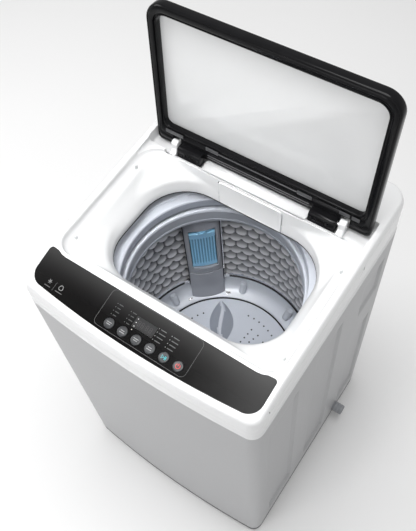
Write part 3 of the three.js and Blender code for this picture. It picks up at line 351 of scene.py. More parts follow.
# %% Painted steel
def painted_steel(name, colour):
    """Silver paint: tiny metal flakes, a faint orange peel and the slow unevenness of the coat."""
    paint = Paint(name)
    slow = paint.noise(4, detail=2)
    peel = paint.noise(420, detail=2)
    flake = paint.node("TexVoronoi", Vector=paint.place(), Scale=2600.0)
    shade = paint.mix(slow, [c * 0.965 for c in colour], colour)
    paint.set(Base_Color=paint.mix(flake * 0.16, shade, (0.8, 0.8, 0.82)),
              Metallic=0.18 + flake * 0.12,
              Roughness=0.36 + (peel - 0.5) * 0.12,
              Normal=paint.bump(peel, 0.05, 0.0004))
    return paint.material


silver = painted_steel("silver_paint", (0.345, 0.348, 0.355))


# %% [markdown]
# Bare metals show how they were made: the drum's rolled sheet has fine upright brush lines, zinc
# plate has a cloudy crystal pattern, and cast aluminium is grainy.

# %% Bare metals
def metal(name, colour, roughness, cloud=0.12, grain=0.1, scale=300, stretch=(1, 1, 1)):
    """Metal with a cloudy sheen and a grain that can be drawn out along one axis."""
    paint = Paint(name)
    point = paint.node("Mapping", Vector=paint.place(), Scale=stretch)
    grain_noise = paint.node("TexNoise", Vector=point, Scale=scale, Detail=4.0)
    slow = paint.noise(14, detail=3)
    paint.set(Base_Color=paint.mix(slow, [c * (1 - cloud) for c in colour], colour),
              Metallic=1.0, Roughness=roughness + (grain_noise - 0.5) * 0.16,
              Normal=paint.bump(grain_noise, grain, 0.0003))
    return paint.material


zinc = metal("zinc_plate", (0.5, 0.51, 0.52), 0.34, cloud=0.25)
cast_metal = metal("cast_aluminium", (0.56, 0.57, 0.58), 0.46, grain=0.5, scale=900)
screw_steel = metal("screw_steel", (0.6, 0.6, 0.61), 0.22)
bright_steel = metal("bright_steel", (0.78, 0.78, 0.8), 0.2)
rubber = plastic("black_rubber", (0.014, 0.014, 0.015), 0.72, grain=0.5, grain_scale=1500,
                 drift=0.3)

# %% [markdown]
# The drum's scales are shaded by how far they stand in from the sheet, since the hollows between
# them catch less light. The distance from the drum's axis tells that.

# %% Drum steel
SCALE_DEPTH = 3.4
steel = Paint("embossed_steel")
brush = steel.node("TexNoise", Scale=900.0, Detail=3.0,
                   Vector=steel.node("Mapping", Vector=steel.place(), Scale=(1, 1, 0.05)))
steel_slow = steel.noise(9, detail=2)
steel_x, steel_y = steel.axes()
steel_y = steel_y - DRUM_Y
proud = (SHEET_R - (steel_x * steel_x + steel_y * steel_y).root()).between(0.0, SCALE_DEPTH)
tone = steel.node("ValToRGB", Fac=proud, stops=(
    (0.0, (0.028, 0.028, 0.03)), (0.3, (0.13, 0.13, 0.135)), (0.62, (0.36, 0.355, 0.36)),
    (0.82, (0.66, 0.655, 0.66)), (1.0, (0.9, 0.89, 0.9))))
steel.set(Base_Color=steel.mix(steel_slow * 0.25, tone, (0.3, 0.295, 0.3)), Metallic=0.35,
          Roughness=0.34 + (brush - 0.5) * 0.14, Normal=steel.bump(brush, 0.12, 0.0002))
drum_steel = steel.material

# %% [markdown]
# The lid's window is clear plastic with a milky cast. It lets a little under half of the light
# straight through, so that it stays the same pale grey from either side.

# %% Window
pane = Paint("window")
film = pane.noise(5, detail=2)
pane.set(Base_Color=pane.mix(film, (0.80, 0.81, 0.815), (0.86, 0.865, 0.87)),
         Roughness=0.06 + film * 0.03, Alpha=0.56 + (film - 0.5) * 0.05)
window_clear = pane.material
print("metals and window made")

# %% [markdown]
# ## Tools for modelling
# Almost every shell here is one of two kinds. A turned shell is a profile spun about an upright
# axis. A lofted shell is a ring of points extruded again and again, each new ring moved to its own
# place, which suits rounded rectangles that change on their way. Boxes are for small fittings.

# %% Turned, lofted and boxed shells


def edit():
    """The active object's mesh in edit mode, with all of it selected."""
    bpy.ops.object.mode_set(mode="EDIT")
    bpy.ops.mesh.select_all(action="SELECT")
    return bmesh.from_edit_mesh(bpy.context.object.data)


def close_up(merge=1e-6):
    """Merges doubled points, turns all faces outwards and leaves edit mode."""
    bpy.ops.mesh.select_all(action="SELECT")
    bpy.ops.mesh.remove_doubles(threshold=merge)
    bpy.ops.mesh.normals_make_consistent(inside=False)
    bpy.ops.object.mode_set(mode="OBJECT")
    return bpy.context.object


def turned(profile, steps=96, x=0.0, y=0.0, upright=True):
    """A profile of (radius, height) points spun about an axis through x, y of the plan."""
    deselect()
    bpy.ops.mesh.primitive_circle_add(vertices=len(profile), radius=MM)
    mesh = edit()
    mesh.verts.ensure_lookup_table()
    for vertex, (radius, height) in zip(mesh.verts, profile):
        vertex.co = place(x + radius, y, height) if upright else Vector((radius, 0, height)) * MM
    if profile[0][0] == 0 and profile[-1][0] == 0:
        bpy.ops.mesh.select_all(action="DESELECT")
        mesh.verts[0].select = mesh.verts[-1].select = True
        mesh.select_flush(True)
        bpy.ops.mesh.delete(type="EDGE_FACE")
        bpy.ops.mesh.select_all(action="SELECT")
    centre = place(x, y, 0) if upright else (0, 0, 0)
    bpy.ops.mesh.spin(steps=steps, angle=2 * math.pi, center=centre, axis=(0, 0, 1))
    return close_up()


def loft(rings, closed=False):
    """A skin through rings of points in metres. Its ends are filled, or joined if closed."""
    deselect()
    rings = rings + rings[:1] if closed else rings
    bpy.ops.mesh.primitive_circle_add(vertices=len(rings[0]), radius=1,
                                      fill_type="NOTHING" if closed else "NGON")
    mesh = edit()
    order = mesh.verts.layers.int.new("order")
    for index, vertex in enumerate(mesh.verts):
        vertex[order] = index
        vertex.co = rings[0][index]
    for ring in rings[1:]:
        bpy.ops.mesh.extrude_region()
        mesh = bmesh.from_edit_mesh(bpy.context.object.data)
        order = mesh.verts.layers.int["order"]
        for vertex in mesh.verts:
            if vertex.select:
                vertex.co = ring[vertex[order]]
    bmesh.update_edit_mesh(bpy.context.object.data)
    return close_up()


def sheet(columns, rows, point, merge=1e-6):
    """A grid with each point moved to point(u, v), where u and v run from -0.5 to 0.5."""
    deselect()
    bpy.ops.mesh.primitive_grid_add(x_subdivisions=columns, y_subdivisions=rows, size=1)
    mesh = edit()
    for vertex in mesh.verts:
        vertex.co = point(vertex.co.x, vertex.co.y)
    bmesh.update_edit_mesh(bpy.context.object.data)
    return close_up(merge)


def block(x0, x1, y0, y1, z0, z1, local=False):
    """A box between those places of the plan."""
    deselect()
    bpy.ops.mesh.primitive_cube_add(size=1)
    obj = bpy.context.object
    middle = ((x0 + x1) / 2, (y0 + y1) / 2, (z0 + z1) / 2)
    obj.location = Vector(middle) * MM if local else place(*middle)
    obj.scale = Vector((x1 - x0, y1 - y0, z1 - z0)) * MM
    bpy.ops.object.transform_apply(location=True, rotation=True, scale=True)
    return obj


def rod(radius, start, end, steps=32, local=False):
    """A cylinder between two points of the plan."""
    deselect()
    a, b = (Vector(p) * MM if local else place(*p) for p in (start, end))
    bpy.ops.mesh.primitive_cylinder_add(vertices=steps, radius=radius * MM, depth=(b - a).length)
    obj = bpy.context.object
    turn = (b - a).to_track_quat("Z", "Y").to_matrix().to_4x4()
    obj.matrix_world = Matrix.Translation((a + b) / 2) @ turn
    bpy.ops.object.transform_apply(location=True, rotation=True, scale=True)
    return obj


# %% Modifiers, cuts and joins


def activate(*objs):
    """Selects those objects only, and makes the first one active."""
    deselect()
    for obj in objs:
        obj.select_set(True)
    bpy.context.view_layer.objects.active = objs[0]


def apply(obj, kind, **settings):
    """Adds a modifier with those settings and applies it."""
    activate(obj)
    modifier = obj.modifiers.new("step", kind)
    for key, value in settings.items():
        setattr(modifier, key, value)
    bpy.ops.object.modifier_apply(modifier=modifier.name)
    return obj


def cut(obj, *tools, how="DIFFERENCE"):
    """Takes each tool out of obj, or adds it with how="UNION"."""
    for tool in tools:
        apply(obj, "BOOLEAN", operation=how, object=tool, solver="EXACT")
        bpy.data.objects.remove(tool)
    return obj


def soften(obj, width, segments=2, angle=35):
    """Rounds every edge sharper than an angle."""
    return apply(obj, "BEVEL", width=width * MM, segments=segments, limit_method="ANGLE",
                 angle_limit=math.radians(angle), use_clamp_overlap=True)


def joined(*objs):
    """Several shells as one object."""
    activate(*objs)
    bpy.ops.object.join()
    return objs[0]


def moved(obj, matrix):
    """Moves a mesh by a matrix and leaves its object at the origin."""
    activate(obj)
    obj.matrix_world = matrix @ obj.matrix_world
    bpy.ops.object.transform_apply(location=True, rotation=True, scale=True)
    return obj


def standing(x, y, z, *turns):
    """The matrix that stands a mesh drawn at the origin at a point of the plan, turned first."""
    matrix = Matrix.Translation(place(x, y, z))
    for angle, axis in turns:
        matrix = matrix @ Matrix.Rotation(angle, 4, axis)
    return matrix


def scattered(obj, matrices):
    """Copies of a mesh, one for each matrix, as one object."""
    twins = []
    for matrix in matrices:
        twin = obj.copy()
        twin.data = obj.data.copy()
        bpy.context.collection.objects.link(twin)
        twin.matrix_world = matrix
        twins.append(twin)
    bpy.data.objects.remove(obj)
    return moved(joined(*twins), Matrix.Identity(4))


def paint(obj, *materials, pick=None):
    """Gives obj its materials. pick(centre, normal) says which one a face has, in the plan."""
    obj.data.materials.clear()
    for material in materials:
        obj.data.materials.append(material)
    if pick:
        for face in obj.data.polygons:
            at = face.center / MM - Vector((MID_X, MID_Y, 0))
            face.material_index = pick(at, face.normal)
    return obj


def finished(obj, name, body, replaces=(), smooth=40):
    """Names a piece, smooths it and makes it ride on its body, if it has just one."""
    activate(obj)
    if smooth:
        bpy.ops.object.shade_smooth_by_angle(angle=math.radians(smooth))
    if "order" in obj.data.attributes:
        obj.data.attributes.remove(obj.data.attributes["order"])
    obj.name = obj.data.name = name
    if body:
        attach(obj, body)
    if replaces:
        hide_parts(*replaces)
    print(f"{name}: {len(obj.data.polygons)} faces")
    return obj


# %% Outlines of rounded rectangles
CORNER_STEPS = 10
SIDE_STEPS = 14
ACROSS_STEPS = 18


def rounded(half_w, front, back_y, front_r, back_r, bow=0.0):
    """Points (x, y) of a rounded rectangle, anticlockwise from its right side, front bowed out."""
    back_c, front_c = back_y - back_r, front + front_r
    corners = [(half_w - back_r, back_c, back_r), (-half_w + back_r, back_c, back_r),
               (-half_w + front_r, front_c, front_r), (half_w - front_r, front_c, front_r)]
    points = []
    for number, (cx, cy, r) in enumerate(corners):
        for i in range(CORNER_STEPS + 1):
            angle = QUARTER * (number + i / CORNER_STEPS)
            points.append((cx + r * math.cos(angle), cy + r * math.sin(angle)))
        nx, ny, nr = corners[(number + 1) % 4]
        leave = QUARTER * (number + 1)
        start = (cx + r * math.cos(leave), cy + r * math.sin(leave))
        end = (nx + nr * math.cos(leave), ny + nr * math.sin(leave))
        count = SIDE_STEPS if number % 2 else ACROSS_STEPS
        for i in range(1, count):
            share = i / count
            bulge = bow * (1 - (2 * share - 1) ** 2) if number == 2 else 0
            points.append((start[0] + (end[0] - start[0]) * share,
                           start[1] + (end[1] - start[1]) * share - bulge))
    return points


def at_height(outline, height):
    """An outline placed in the plan, at a height or a height that depends on x and y."""
    level = height if callable(height) else (lambda x, y: height)
    return [place(x, y, level(x, y)) for x, y in outline]


def at_origin(outline, height):
    """An outline in metres about the origin, for a mesh that is moved into place afterwards."""
    return [Vector((x, y, height)) * MM for x, y in outline]


def blended(one, other, share):
    """An outline part of the way from one outline to another."""
    return [(a[0] + (b[0] - a[0]) * share, a[1] + (b[1] - a[1]) * share) for a, b in zip(one, other)]


def smooth_step(value, low, high):
    """0 below low, 1 above high, with an eased rise in between."""
    share = min(max((value - low) / (high - low), 0), 1)
    return share * share * (3 - 2 * share)


# %% [markdown]
# ## Cabinet
# One sheet of steel wraps the front and both sides and turns a flange behind each rear corner. Its
# front is bowed, and its sides are pressed with three tall panels each, which stiffen the sheet.
# The sheet is a grid of points, wrapped along the plan and pushed in wherever a panel is pressed.

# %% Pressed panels of the sides
FRONT_R = 26
REAR_R = 45
PRESS_DEPTH = 5.0
PRESS_SLOPE = 5.4
SHEET_T = 1.0
WRAP_ROWS = 118
PRESSED = [(-237, -131, 92, 742), (-62, 38, 92, 742), (126, 213, 92, 505), (126, 213, 612, 742)]


def pressed_depth(y, z):
    """How far a side is pushed in at y, z: full inside a panel, none outside, with sloped edges."""
    deepest = 0.0
    for y0, y1, z0, z1 in PRESSED:
        shear = (z1 - z) * 0.03
        inside = min(y - y0 - shear, y1 + shear - y, z - z0, z1 - z)
        deepest = max(deepest, smooth_step(inside, 0, PRESS_SLOPE))
    return deepest * PRESS_DEPTH


def wall_outline():
    """The wrap's plan from the left rear flange, round the front, to the right rear flange."""
    flange, cell = 62, 3.6
    points = [(-SIDE_X + flange - i * (flange - REAR_R) / 3, BACK_Y) for i in range(3)]
    for i in range(13):
        angle = QUARTER * (1 + i / 12)
        points.append((-SIDE_X + REAR_R + REAR_R * math.cos(angle),
                       BACK_Y - REAR_R + REAR_R * math.sin(angle)))
    length = 2 * BACK_Y - REAR_R - FRONT_R
    side = int(length / cell)
    points += [(-SIDE_X, BACK_Y - REAR_R - length * i / side) for i in range(1, side)]
    for i in range(11):
        angle = math.pi * (1 + i / 20)
        points.append((-SIDE_X + FRONT_R + FRONT_R * math.cos(angle),
                       -BACK_Y + FRONT_R + FRONT_R * math.sin(angle)))
    for i in range(1, 12):
        off = 1 - i / 12
        points.append((-(SIDE_X - FRONT_R) * off, -BACK_Y - FRONT_BOW * (1 - off ** 2)))
    return points + [(0, -BACK_Y - FRONT_BOW)] + [(-x, y) for x, y in reversed(points)]


# %% Wrap the sheet
outline = wall_outline()


def on_wrap(u, v):
    """A grid point wrapped along the plan and pushed in where a panel is pressed."""
    x, y = outline[round((u + 0.5) * (len(outline) - 1))]
    z = SHELL_Z + (v + 0.5) * (SEAM_Z - SHELL_Z)
    if abs(x) > SIDE_X - 0.01:
        x -= math.copysign(pressed_depth(y, z), x)
    return place(x, y, z)


cabinet = sheet(len(outline) - 1, WRAP_ROWS, on_wrap)
apply(cabinet, "SOLIDIFY", thickness=SHEET_T * MM, offset=-1.0)
cut(cabinet, rod(14.3, (SIDE_X - 10, SPIGOT_Y, SPIGOT_Z), (SIDE_X + 10, SPIGOT_Y, SPIGOT_Z)))
finished(paint(cabinet, silver), "cabinet_wrap", "cabinet", ["cabinet_shell"],
         smooth=50)

# %% [markdown]
# The back is a separate sheet screwed over the flanges. Four long pressed ribs keep it from
# drumming, and slots near the top let air out. A grid is pushed out of its plane for the ribs,
# thickened, and the slots are cut.

# %% Back panel
BACK_HALF = SIDE_X - 50
RIB_HALF, RIB_SLOPE, RIB_DEPTH = 17, 8, 3.0
BACK_RIBS = [(-150, 90, 560), (-50, 90, 660), (50, 90, 660), (150, 90, 560)]


def on_back(u, v):
    """A grid point on the back panel, pushed inwards where a rib is pressed."""
    x = u * 2 * BACK_HALF
    z = SHELL_Z + (v + 0.5) * (SEAM_Z - 0.3 - SHELL_Z)
    push = 0.0
    for rib_x, z0, z1 in BACK_RIBS:
        away = math.hypot(x - rib_x, z - min(max(z, z0), z1))
        push = max(push, smooth_step(RIB_HALF - away, 0, RIB_SLOPE))
    return place(x, BACK_Y + 1.3 - RIB_DEPTH * push, z)


back_panel = sheet(120, 110, on_back)
apply(back_panel, "SOLIDIFY", thickness=SHEET_T * MM, offset=0.0)
slots = [block(side * 100 + i * 11 - 42, side * 100 + i * 11 - 37, BACK_Y - 8, BACK_Y + 8, 718, 752)
         for side in sides for i in range(8)]
cord_hole = rod(9, (CORD_X, BACK_Y - 9, CORD_Z), (CORD_X, BACK_Y + 9, CORD_Z))
cut(back_panel, joined(*slots), cord_hole)
heads = []
for side in sides:
    for z in (60, 300, 540, 780):
        head = turned([(0, 2.6), (2.2, 2.5), (4.4, 1.4), (5, 0), (0, 0)], 20, upright=False)
        cut(head, block(-3.4, 3.4, -0.5, 0.5, 1.4, 4, local=True))
        heads.append(moved(head, standing(side * (BACK_HALF - 7), BACK_Y + 1.6, z,
                                          (-QUARTER, "X"), (0.4 + z, "Z"))))
finished(paint(joined(*heads), zinc), "back_screws", "cabinet")
finished(paint(back_panel, silver), "rear_sheet", "cabinet", ["back_panel"])

# %% [markdown]
# ## Base
# A dark plastic tray closes the bottom edge and carries the four feet. It is a lofted ring: outside
# up, in over the top, and down the inside, with a shallow groove round its outer face.

# %% Base and feet
BASE_RAIL = 66
base_z, base_top = extent("base_frame", 2)


def wall_plan(inset):
    """The cabinet's outline, drawn in by an inset."""
    return rounded(SIDE_X - inset, -BACK_Y + inset, BACK_Y - inset, FRONT_R - inset, REAR_R - inset,
                   bow=FRONT_BOW)


base_opening = rounded(SIDE_X - BASE_RAIL, -BACK_Y + BASE_RAIL, BACK_Y - BASE_RAIL, 30, 30)
base = loft([at_height(plan, z) for plan, z in (
    (wall_plan(3), base_z), (wall_plan(0.4), base_z + 3), (wall_plan(0.2), base_z + 12),
    (wall_plan(1.6), base_z + 13), (wall_plan(1.6), base_z + 14.6), (wall_plan(0.2), base_z + 15.4),
    (wall_plan(0.2), base_top), (base_opening, base_top), (base_opening, base_z))], closed=True)
grooves = [block(x - 1.2, x + 1.2, side * 245 - 28, side * 245 + 28, base_z - 1, base_z + 9)
           for side in sides for x in range(-150, 151, 30)]
cut(base, joined(*grooves))
finished(paint(soften(base, 0.8), charcoal), "base_tray", "cabinet", ["base_frame"])

FEET = {"foot_front_left": "left_foot", "foot_front_right": "right_foot",
        "foot_rear_left": "cabinet", "foot_rear_right": "cabinet"}
for node, body in FEET.items():
    x = sum(extent(node, 0)) / 2 - MID_X
    y = sum(extent(node, 1)) / 2 - MID_Y
    foot = turned([(0, 0), (17, 0), (19, 1), (20, 3), (20, 7), (18.5, 9), (11, 11.5), (10, 13),
                   (10, 19.6), (5, 19.6), (5, 35), (4, base_top - 2), (0, base_top - 2)], 48, x, y)
    grips = []
    for i in range(18):
        grip_x = x + 20.6 * math.cos(math.pi * i / 9)
        grip_y = y + 20.6 * math.sin(math.pi * i / 9)
        grips.append(rod(1.6, (grip_x, grip_y, 2), (grip_x, grip_y, 8), 8))
    cut(foot, joined(*grips))
    finished(paint(foot, rubber), node + "_pad", body, [node])

# %% [markdown]
# ## Top cover
# One large moulding: a skirt that sits on the steel, rims that fall gently towards the front, a seat
# for the control panel, and a basin that narrows to a round-cornered opening over the drum. It is
# one closed loft. The rings climb the skirt, roll over the rim, sink into the basin and come back
# underneath. Rings in the basin are smoothed through their neighbours, like a drawn curve.

# %% Heights of the cover
HINGE_Y = 146
HINGE_Z = RIM_Z - 15
RIM_SLOPE = 0.04
PANEL_FRONT = -BACK_Y + 17
PANEL_BACK = PANEL_FRONT + 76
PANEL_MID = (PANEL_FRONT + PANEL_BACK) / 2
PANEL_SLOPE = 0.227
PANEL_TILT = math.atan(PANEL_SLOPE)
PANEL_BACK_Z = RIM_Z - RIM_SLOPE * (HINGE_Y - PANEL_BACK) + 1
BASIN_FRONT = PANEL_BACK + 3.5
BASIN_BACK = HINGE_Y - 21.5
BASIN_HALF = SIDE_X - 20
THROAT_HALF = 200
THROAT_Z = SEAM_Z + 6
POCKET_Z = HINGE_Z - 14
WELL_Z = HINGE_Z - 24


def rim_height(y):
    """Height of the rims, which fall towards the front."""
    return RIM_Z - RIM_SLOPE * max(0, HINGE_Y - y)


def panel_height(y):
    """Height of the slope that carries the control panel."""
    return PANEL_BACK_Z + PANEL_SLOPE * (y - PANEL_BACK)


def top_height(x, y):
    """The cover's upper surface: rims, then the slope that the control panel lies in."""
    return rim_height(y) if y > PANEL_BACK else min(rim_height(y), panel_height(y))


def cover_ring(inset, drop):
    """A ring near the cover's upper edge; the nose at the front rolls over more broadly."""
    points = []
    for x, y in wall_plan(inset):
        nose = 1 + 1.1 * smooth_step(-y, BACK_Y - 30, BACK_Y - 4)
        points.append(place(x, y, top_height(x, max(y, -BACK_Y + 9)) - drop * nose))
    return points


def basin_plan(inset, back_inset=None):
    """The basin's outline, drawn in by an inset that is small at its back."""
    back_inset = inset * 0.1 if back_inset is None else back_inset
    return rounded(BASIN_HALF - inset, BASIN_FRONT + inset, BASIN_BACK - back_inset,
                   max(34 - inset * 0.6, 8), max(46 - inset * 0.5, 8))


def throat_plan(outset):
    """The outline of the opening over the drum."""
    return rounded(THROAT_HALF + outset, BASIN_FRONT + 41 - outset, BASIN_BACK - 2 + outset * 0.1,
                   85 + outset, 100 + outset)


def below_rim(plan, drop):
    """An outline at a depth below the rims."""
    return at_height(plan, lambda x, y: rim_height(max(y, PANEL_BACK)) - drop)


def curve_through(rings, steps):
    """More rings between the given ones, on a Catmull-Rom curve through each column of points."""
    made = []
    for k in range(len(rings) - 1):
        a, b = rings[max(k - 1, 0)], rings[k]
        c, d = rings[k + 1], rings[min(k + 2, len(rings) - 1)]
        for i in range(steps):
            t = i / steps
            made.append([0.5 * ((2 * q) + (r - p) * t + (2 * p - 5 * q + 4 * r - s) * t ** 2
                                + (3 * q - p - 3 * r + s) * t ** 3)
                         for p, q, r, s in zip(a, b, c, d)])
    return made + [rings[-1]]


# %% Rings of the cover
skirt = [at_height(wall_plan(0.0), SEAM_Z + 0.3), at_height(wall_plan(0.0), SEAM_Z + 2.6),
         at_height(wall_plan(0.9), SEAM_Z + 3.8), at_height(wall_plan(0.9), SEAM_Z + 30)]
edge = [cover_ring(0.9, 13), cover_ring(1.1, 11.5), cover_ring(4.4, 3.6), cover_ring(5.6, 1.6),
        cover_ring(7.4, 0.5), cover_ring(9.6, 0.0)]
rim_outline, basin_outline = wall_plan(9.6), basin_plan(-4.5, -4.5)
rim_top = [at_height(blended(rim_outline, basin_outline, share), top_height)
           for share in (0.15, 0.4, 0.65, 0.85, 1.0)]
basin_side = curve_through([
    below_rim(basin_plan(-2.2, -2.2), 0.7), below_rim(basin_plan(-0.4, -0.4), 4.0),
    below_rim(basin_plan(0.6), 11.5), below_rim(basin_plan(3.6), 17.5),
    below_rim(basin_plan(10), 22.5), below_rim(blended(basin_plan(14), throat_plan(14), 0.25), 27.0),
    at_height(blended(basin_plan(14), throat_plan(14), 0.62), THROAT_Z + 42),
    at_height(throat_plan(11), THROAT_Z + 25), at_height(throat_plan(3.5), THROAT_Z + 10),
    at_height(throat_plan(0.4), THROAT_Z + 1)], 3)
collar = [at_height(throat_plan(0), THROAT_Z - 6), at_height(throat_plan(0), THROAT_Z - 12),
          at_height(throat_plan(3), THROAT_Z - 12)]


def underside(x, y):
    """Height of the cover's lower surface under its rims."""
    return min(top_height(x, y) - 4.6, POCKET_Z - 3 if y > 70 else RIM_Z)


under = [at_height(throat_plan(3), THROAT_Z), at_height(throat_plan(12), THROAT_Z + 16),
         at_height(throat_plan(16), THROAT_Z + 23),
         below_rim(blended(basin_plan(11), throat_plan(17), 0.25), 32.0), below_rim(basin_plan(3), 26),
         below_rim(basin_plan(-3.4, -3.4), 16), at_height(basin_plan(-4.4, -4.4), underside),
         at_height(blended(rim_outline, basin_outline, 0.5), underside),
         at_height(wall_plan(9), lambda x, y: underside(x, y) - 1.5),
         at_height(wall_plan(3.4), lambda x, y: underside(x, max(y, -BACK_Y + 14)) - 14),
         at_height(wall_plan(3.4), SEAM_Z + 0.3)]
cover = loft(skirt + edge + rim_top + basin_side + collar + under, closed=True)
print("cover loft:", len(cover.data.polygons), "faces")

# %% [markdown]
# The lid's back edge turns down into a pocket when the lid opens, and each hinge knuckle has a
# deeper well. These, the opening for the detergent drawer, the water inlet's hole and the control
# panel's seat are cut out of the loft. Two ears that carry the hinge pins are added.

# %% Pocket, wells and drawer opening
POCKET_FRONT = HINGE_Y - 17
POCKET_BACK = HINGE_Y + 31
EAR_X = 187
EAR_T = 15
KNUCKLE_W = 57
DRAWER_HALF = 75
DRAWER_TOP = RIM_Z - 31
DRAWER_H = 50
DRAWER_Y = BASIN_BACK - 3.5
PANEL_T = 4


def on_panel(obj):
    """Puts a mesh drawn on a level panel at the origin into the control panel's plane."""
    return moved(obj, standing(0, PANEL_MID, panel_height(PANEL_MID), (PANEL_TILT, "X")))


def arc(cx, cy, r, start, end, steps=8):
    """Points on an arc between two angles in degrees."""
    turn = math.radians(end - start) / steps
    return [(cx + r * math.cos(math.radians(start) + turn * i),
             cy + r * math.sin(math.radians(start) + turn * i)) for i in range(steps + 1)]


def mirrored(points):
    """Points on the other side of the middle, in the other order."""
    return [(-x, y) for x, y in reversed(points)]


def panel_outline(grow):
    """The control panel's outline in its own plane: round front corners and two drawn-out tips."""
    half = SIDE_X - 15 + grow
    back_v = (PANEL_BACK - PANEL_MID) / math.cos(PANEL_TILT) + grow
    front_v = (PANEL_FRONT - PANEL_MID) / math.cos(PANEL_TILT) - grow
    tip, nose = 7 + grow, 30 + grow
    right_tip = arc(half - tip, back_v - tip, tip, 0, 90)
    reach = half - tip - 2
    across = [reach * (1 - i / 24) for i in range(1, 48)]
    dip = [(x, back_v - 6.5 * smooth_step(half - 13 - abs(x), 0, 24)) for x in across]
    left_nose = arc(-half + nose, front_v + nose, nose, 180, 270, 16)
    flat = half - nose
    bulge = [2 * i / 24 - 1 for i in range(1, 24)]
    front = [(flat * b, front_v - FRONT_BOW * (1 - b * b)) for b in bulge]
    return right_tip + dip + mirrored(right_tip) + left_nose + front + mirrored(left_nose)


def panel_slab(outline, low, high, bevel=0.0):
    """A slab in the control panel's plane, between two heights above it, its top edge bevelled."""
    rings = [at_origin(outline, low)]
    if bevel:
        rings.append(at_origin(outline, high - bevel))
        mid_x, mid_v = (sum(values) / len(outline) for values in zip(*outline))
        outline = [(x - math.copysign(min(bevel, abs(x - mid_x)), x - mid_x),
                    v - math.copysign(min(bevel, abs(v - mid_v)), v - mid_v)) for x, v in outline]
    return on_panel(loft(rings + [at_origin(outline, high)]))


def beside(side, near, far):
    """The two x places of something on one side of the middle, in rising order."""
    return sorted((side * near, side * far))


well_x = EAR_X - KNUCKLE_W - 8
housings = [block(*beside(side, well_x - 3, EAR_X + 3), POCKET_FRONT - 3, POCKET_BACK + 3,
                  WELL_Z - 3, POCKET_Z - 1) for side in sides]
cut(cover, *housings, how="UNION")
pocket = block(-BASIN_HALF - 3, BASIN_HALF + 3, POCKET_FRONT, POCKET_BACK, POCKET_Z, RIM_Z + 30)
soften(pocket, 5, segments=4)
ridge = block(-BASIN_HALF + 40, BASIN_HALF - 40, BASIN_BACK - 30, POCKET_BACK - 1, HINGE_Z - 10,
              RIM_Z + 30)
soften(ridge, 6, segments=4)
shelf = block(-BASIN_HALF - 1, BASIN_HALF + 1, BASIN_BACK - 46, POCKET_FRONT + 12, HINGE_Z,
              RIM_Z + 30)
soften(shelf, 7, segments=5)
wells = [block(*beside(side, well_x, EAR_X), POCKET_FRONT, POCKET_BACK, WELL_Z, RIM_Z)
         for side in sides]
drawer_room = block(-DRAWER_HALF - 1.5, DRAWER_HALF + 1.5, BASIN_BACK - 30, POCKET_FRONT + 10,
                    DRAWER_TOP - DRAWER_H - 1.5, DRAWER_TOP + 1.5)
soften(drawer_room, 9, segments=5)
drawer_drop = block(-DRAWER_HALF - 1.2, DRAWER_HALF + 1.2, BASIN_BACK - 12, POCKET_FRONT + 10,
                    THROAT_Z - 20, DRAWER_TOP - DRAWER_H)
inlet_hole = rod(12.3, (INLET_X, BACK_Y - 12, INLET_Z), (INLET_X, BACK_Y + 12, INLET_Z))
seat = panel_slab(panel_outline(0.3), -PANEL_T - 0.3, 30)
board_room = on_panel(block(-80, 112, -45, 16, -30, 0, local=True))
cut(cover, pocket, shelf, ridge, *wells, drawer_room, drawer_drop, inlet_hole, seat, board_room)
print("cover cut:", len(cover.data.polygons), "faces")

# %% Ears, bumpers and finish of the cover


def ear(side):
    """An upright horn with a rounded top, a hole for the hinge pin and a fin down the basin wall."""
    x0 = EAR_X if side > 0 else -EAR_X - EAR_T
    profile = (arc(HINGE_Y, HINGE_Z + 8.5, 8, 0, 180, 12)
               + [(HINGE_Y + dy, HINGE_Z + dz) for dy, dz in (
                   (-8.6, -2), (-16, -9), (-24, -24), (-24, -30), (8, -30))])
    horn = loft([[place(x0 + offset, y, z) for y, z in profile] for offset in (0, EAR_T)])
    soften(horn, 2.2, segments=3)
    pin_hole = rod(4.4, (x0 - 5, HINGE_Y, HINGE_Z), (x0 + EAR_T + 5, HINGE_Y, HINGE_Z))
    return cut(horn, pin_hole)


bumpers = []
for side in sides:
    for y in (-140, 60):
        low = rim_height(y) - 30
        high = HINGE_Z + 3.5 - RIM_SLOPE * (HINGE_Y - y)
        bumpers.append(turned(
            [(0, low), (3.2, low), (3.2, high - 1.5), (2.2, high - 0.4), (0, high)], 24,
            side * (BASIN_HALF - 12), y))
SLOT_Y, SLOT_LOW, SLOT_HIGH, SLOT_DEPTH = (92, -236), SEAM_Z + 60, SEAM_Z + 71, 2.2
cut(cover, *(block(*beside(side, SIDE_X - SLOT_DEPTH, SIDE_X + 1), y - 1, y + 1, SLOT_LOW, SLOT_HIGH)
             for side in sides for y in SLOT_Y))
soften(cover, 1.0, segments=2, angle=50)
cover = joined(cover, ear(-1), ear(1))


def cover_shade(at, normal):
    """Painted shade: the bottoms of the four small slots are black."""
    in_slot = (SLOT_LOW - 1 < at.z < SLOT_HIGH + 1 and min(abs(at.y - y) for y in SLOT_Y) < 1.2
               and SIDE_X - SLOT_DEPTH - 0.1 < abs(at.x) < SIDE_X - 1)
    return int(in_slot)


finished(paint(cover, white, black_painted_shade, pick=cover_shade), "cover_moulding", "cabinet",
         ["top_cover"], smooth=38)
finished(paint(joined(*bumpers), white_inner), "lid_bumpers", "cabinet")

# %% [markdown]
# ## Control panel
# A black plate with a thin bevel drops into the cover's seat. Six round buttons stand in a row of
# holes, with a display behind a window above them. The printing is a very thin raised layer: a
# rounded frame round the programme field, rows of small lamps with a mark beside each, and simple
# signs on the buttons.

# %% Panel plate
BUTTON_R = 10
BUTTON_V = -30
BUTTON_X = [16 + (i - 2.5) * 31 for i in range(6)]
DISPLAY_X = BUTTON_X[2]
DISPLAY_V = -2

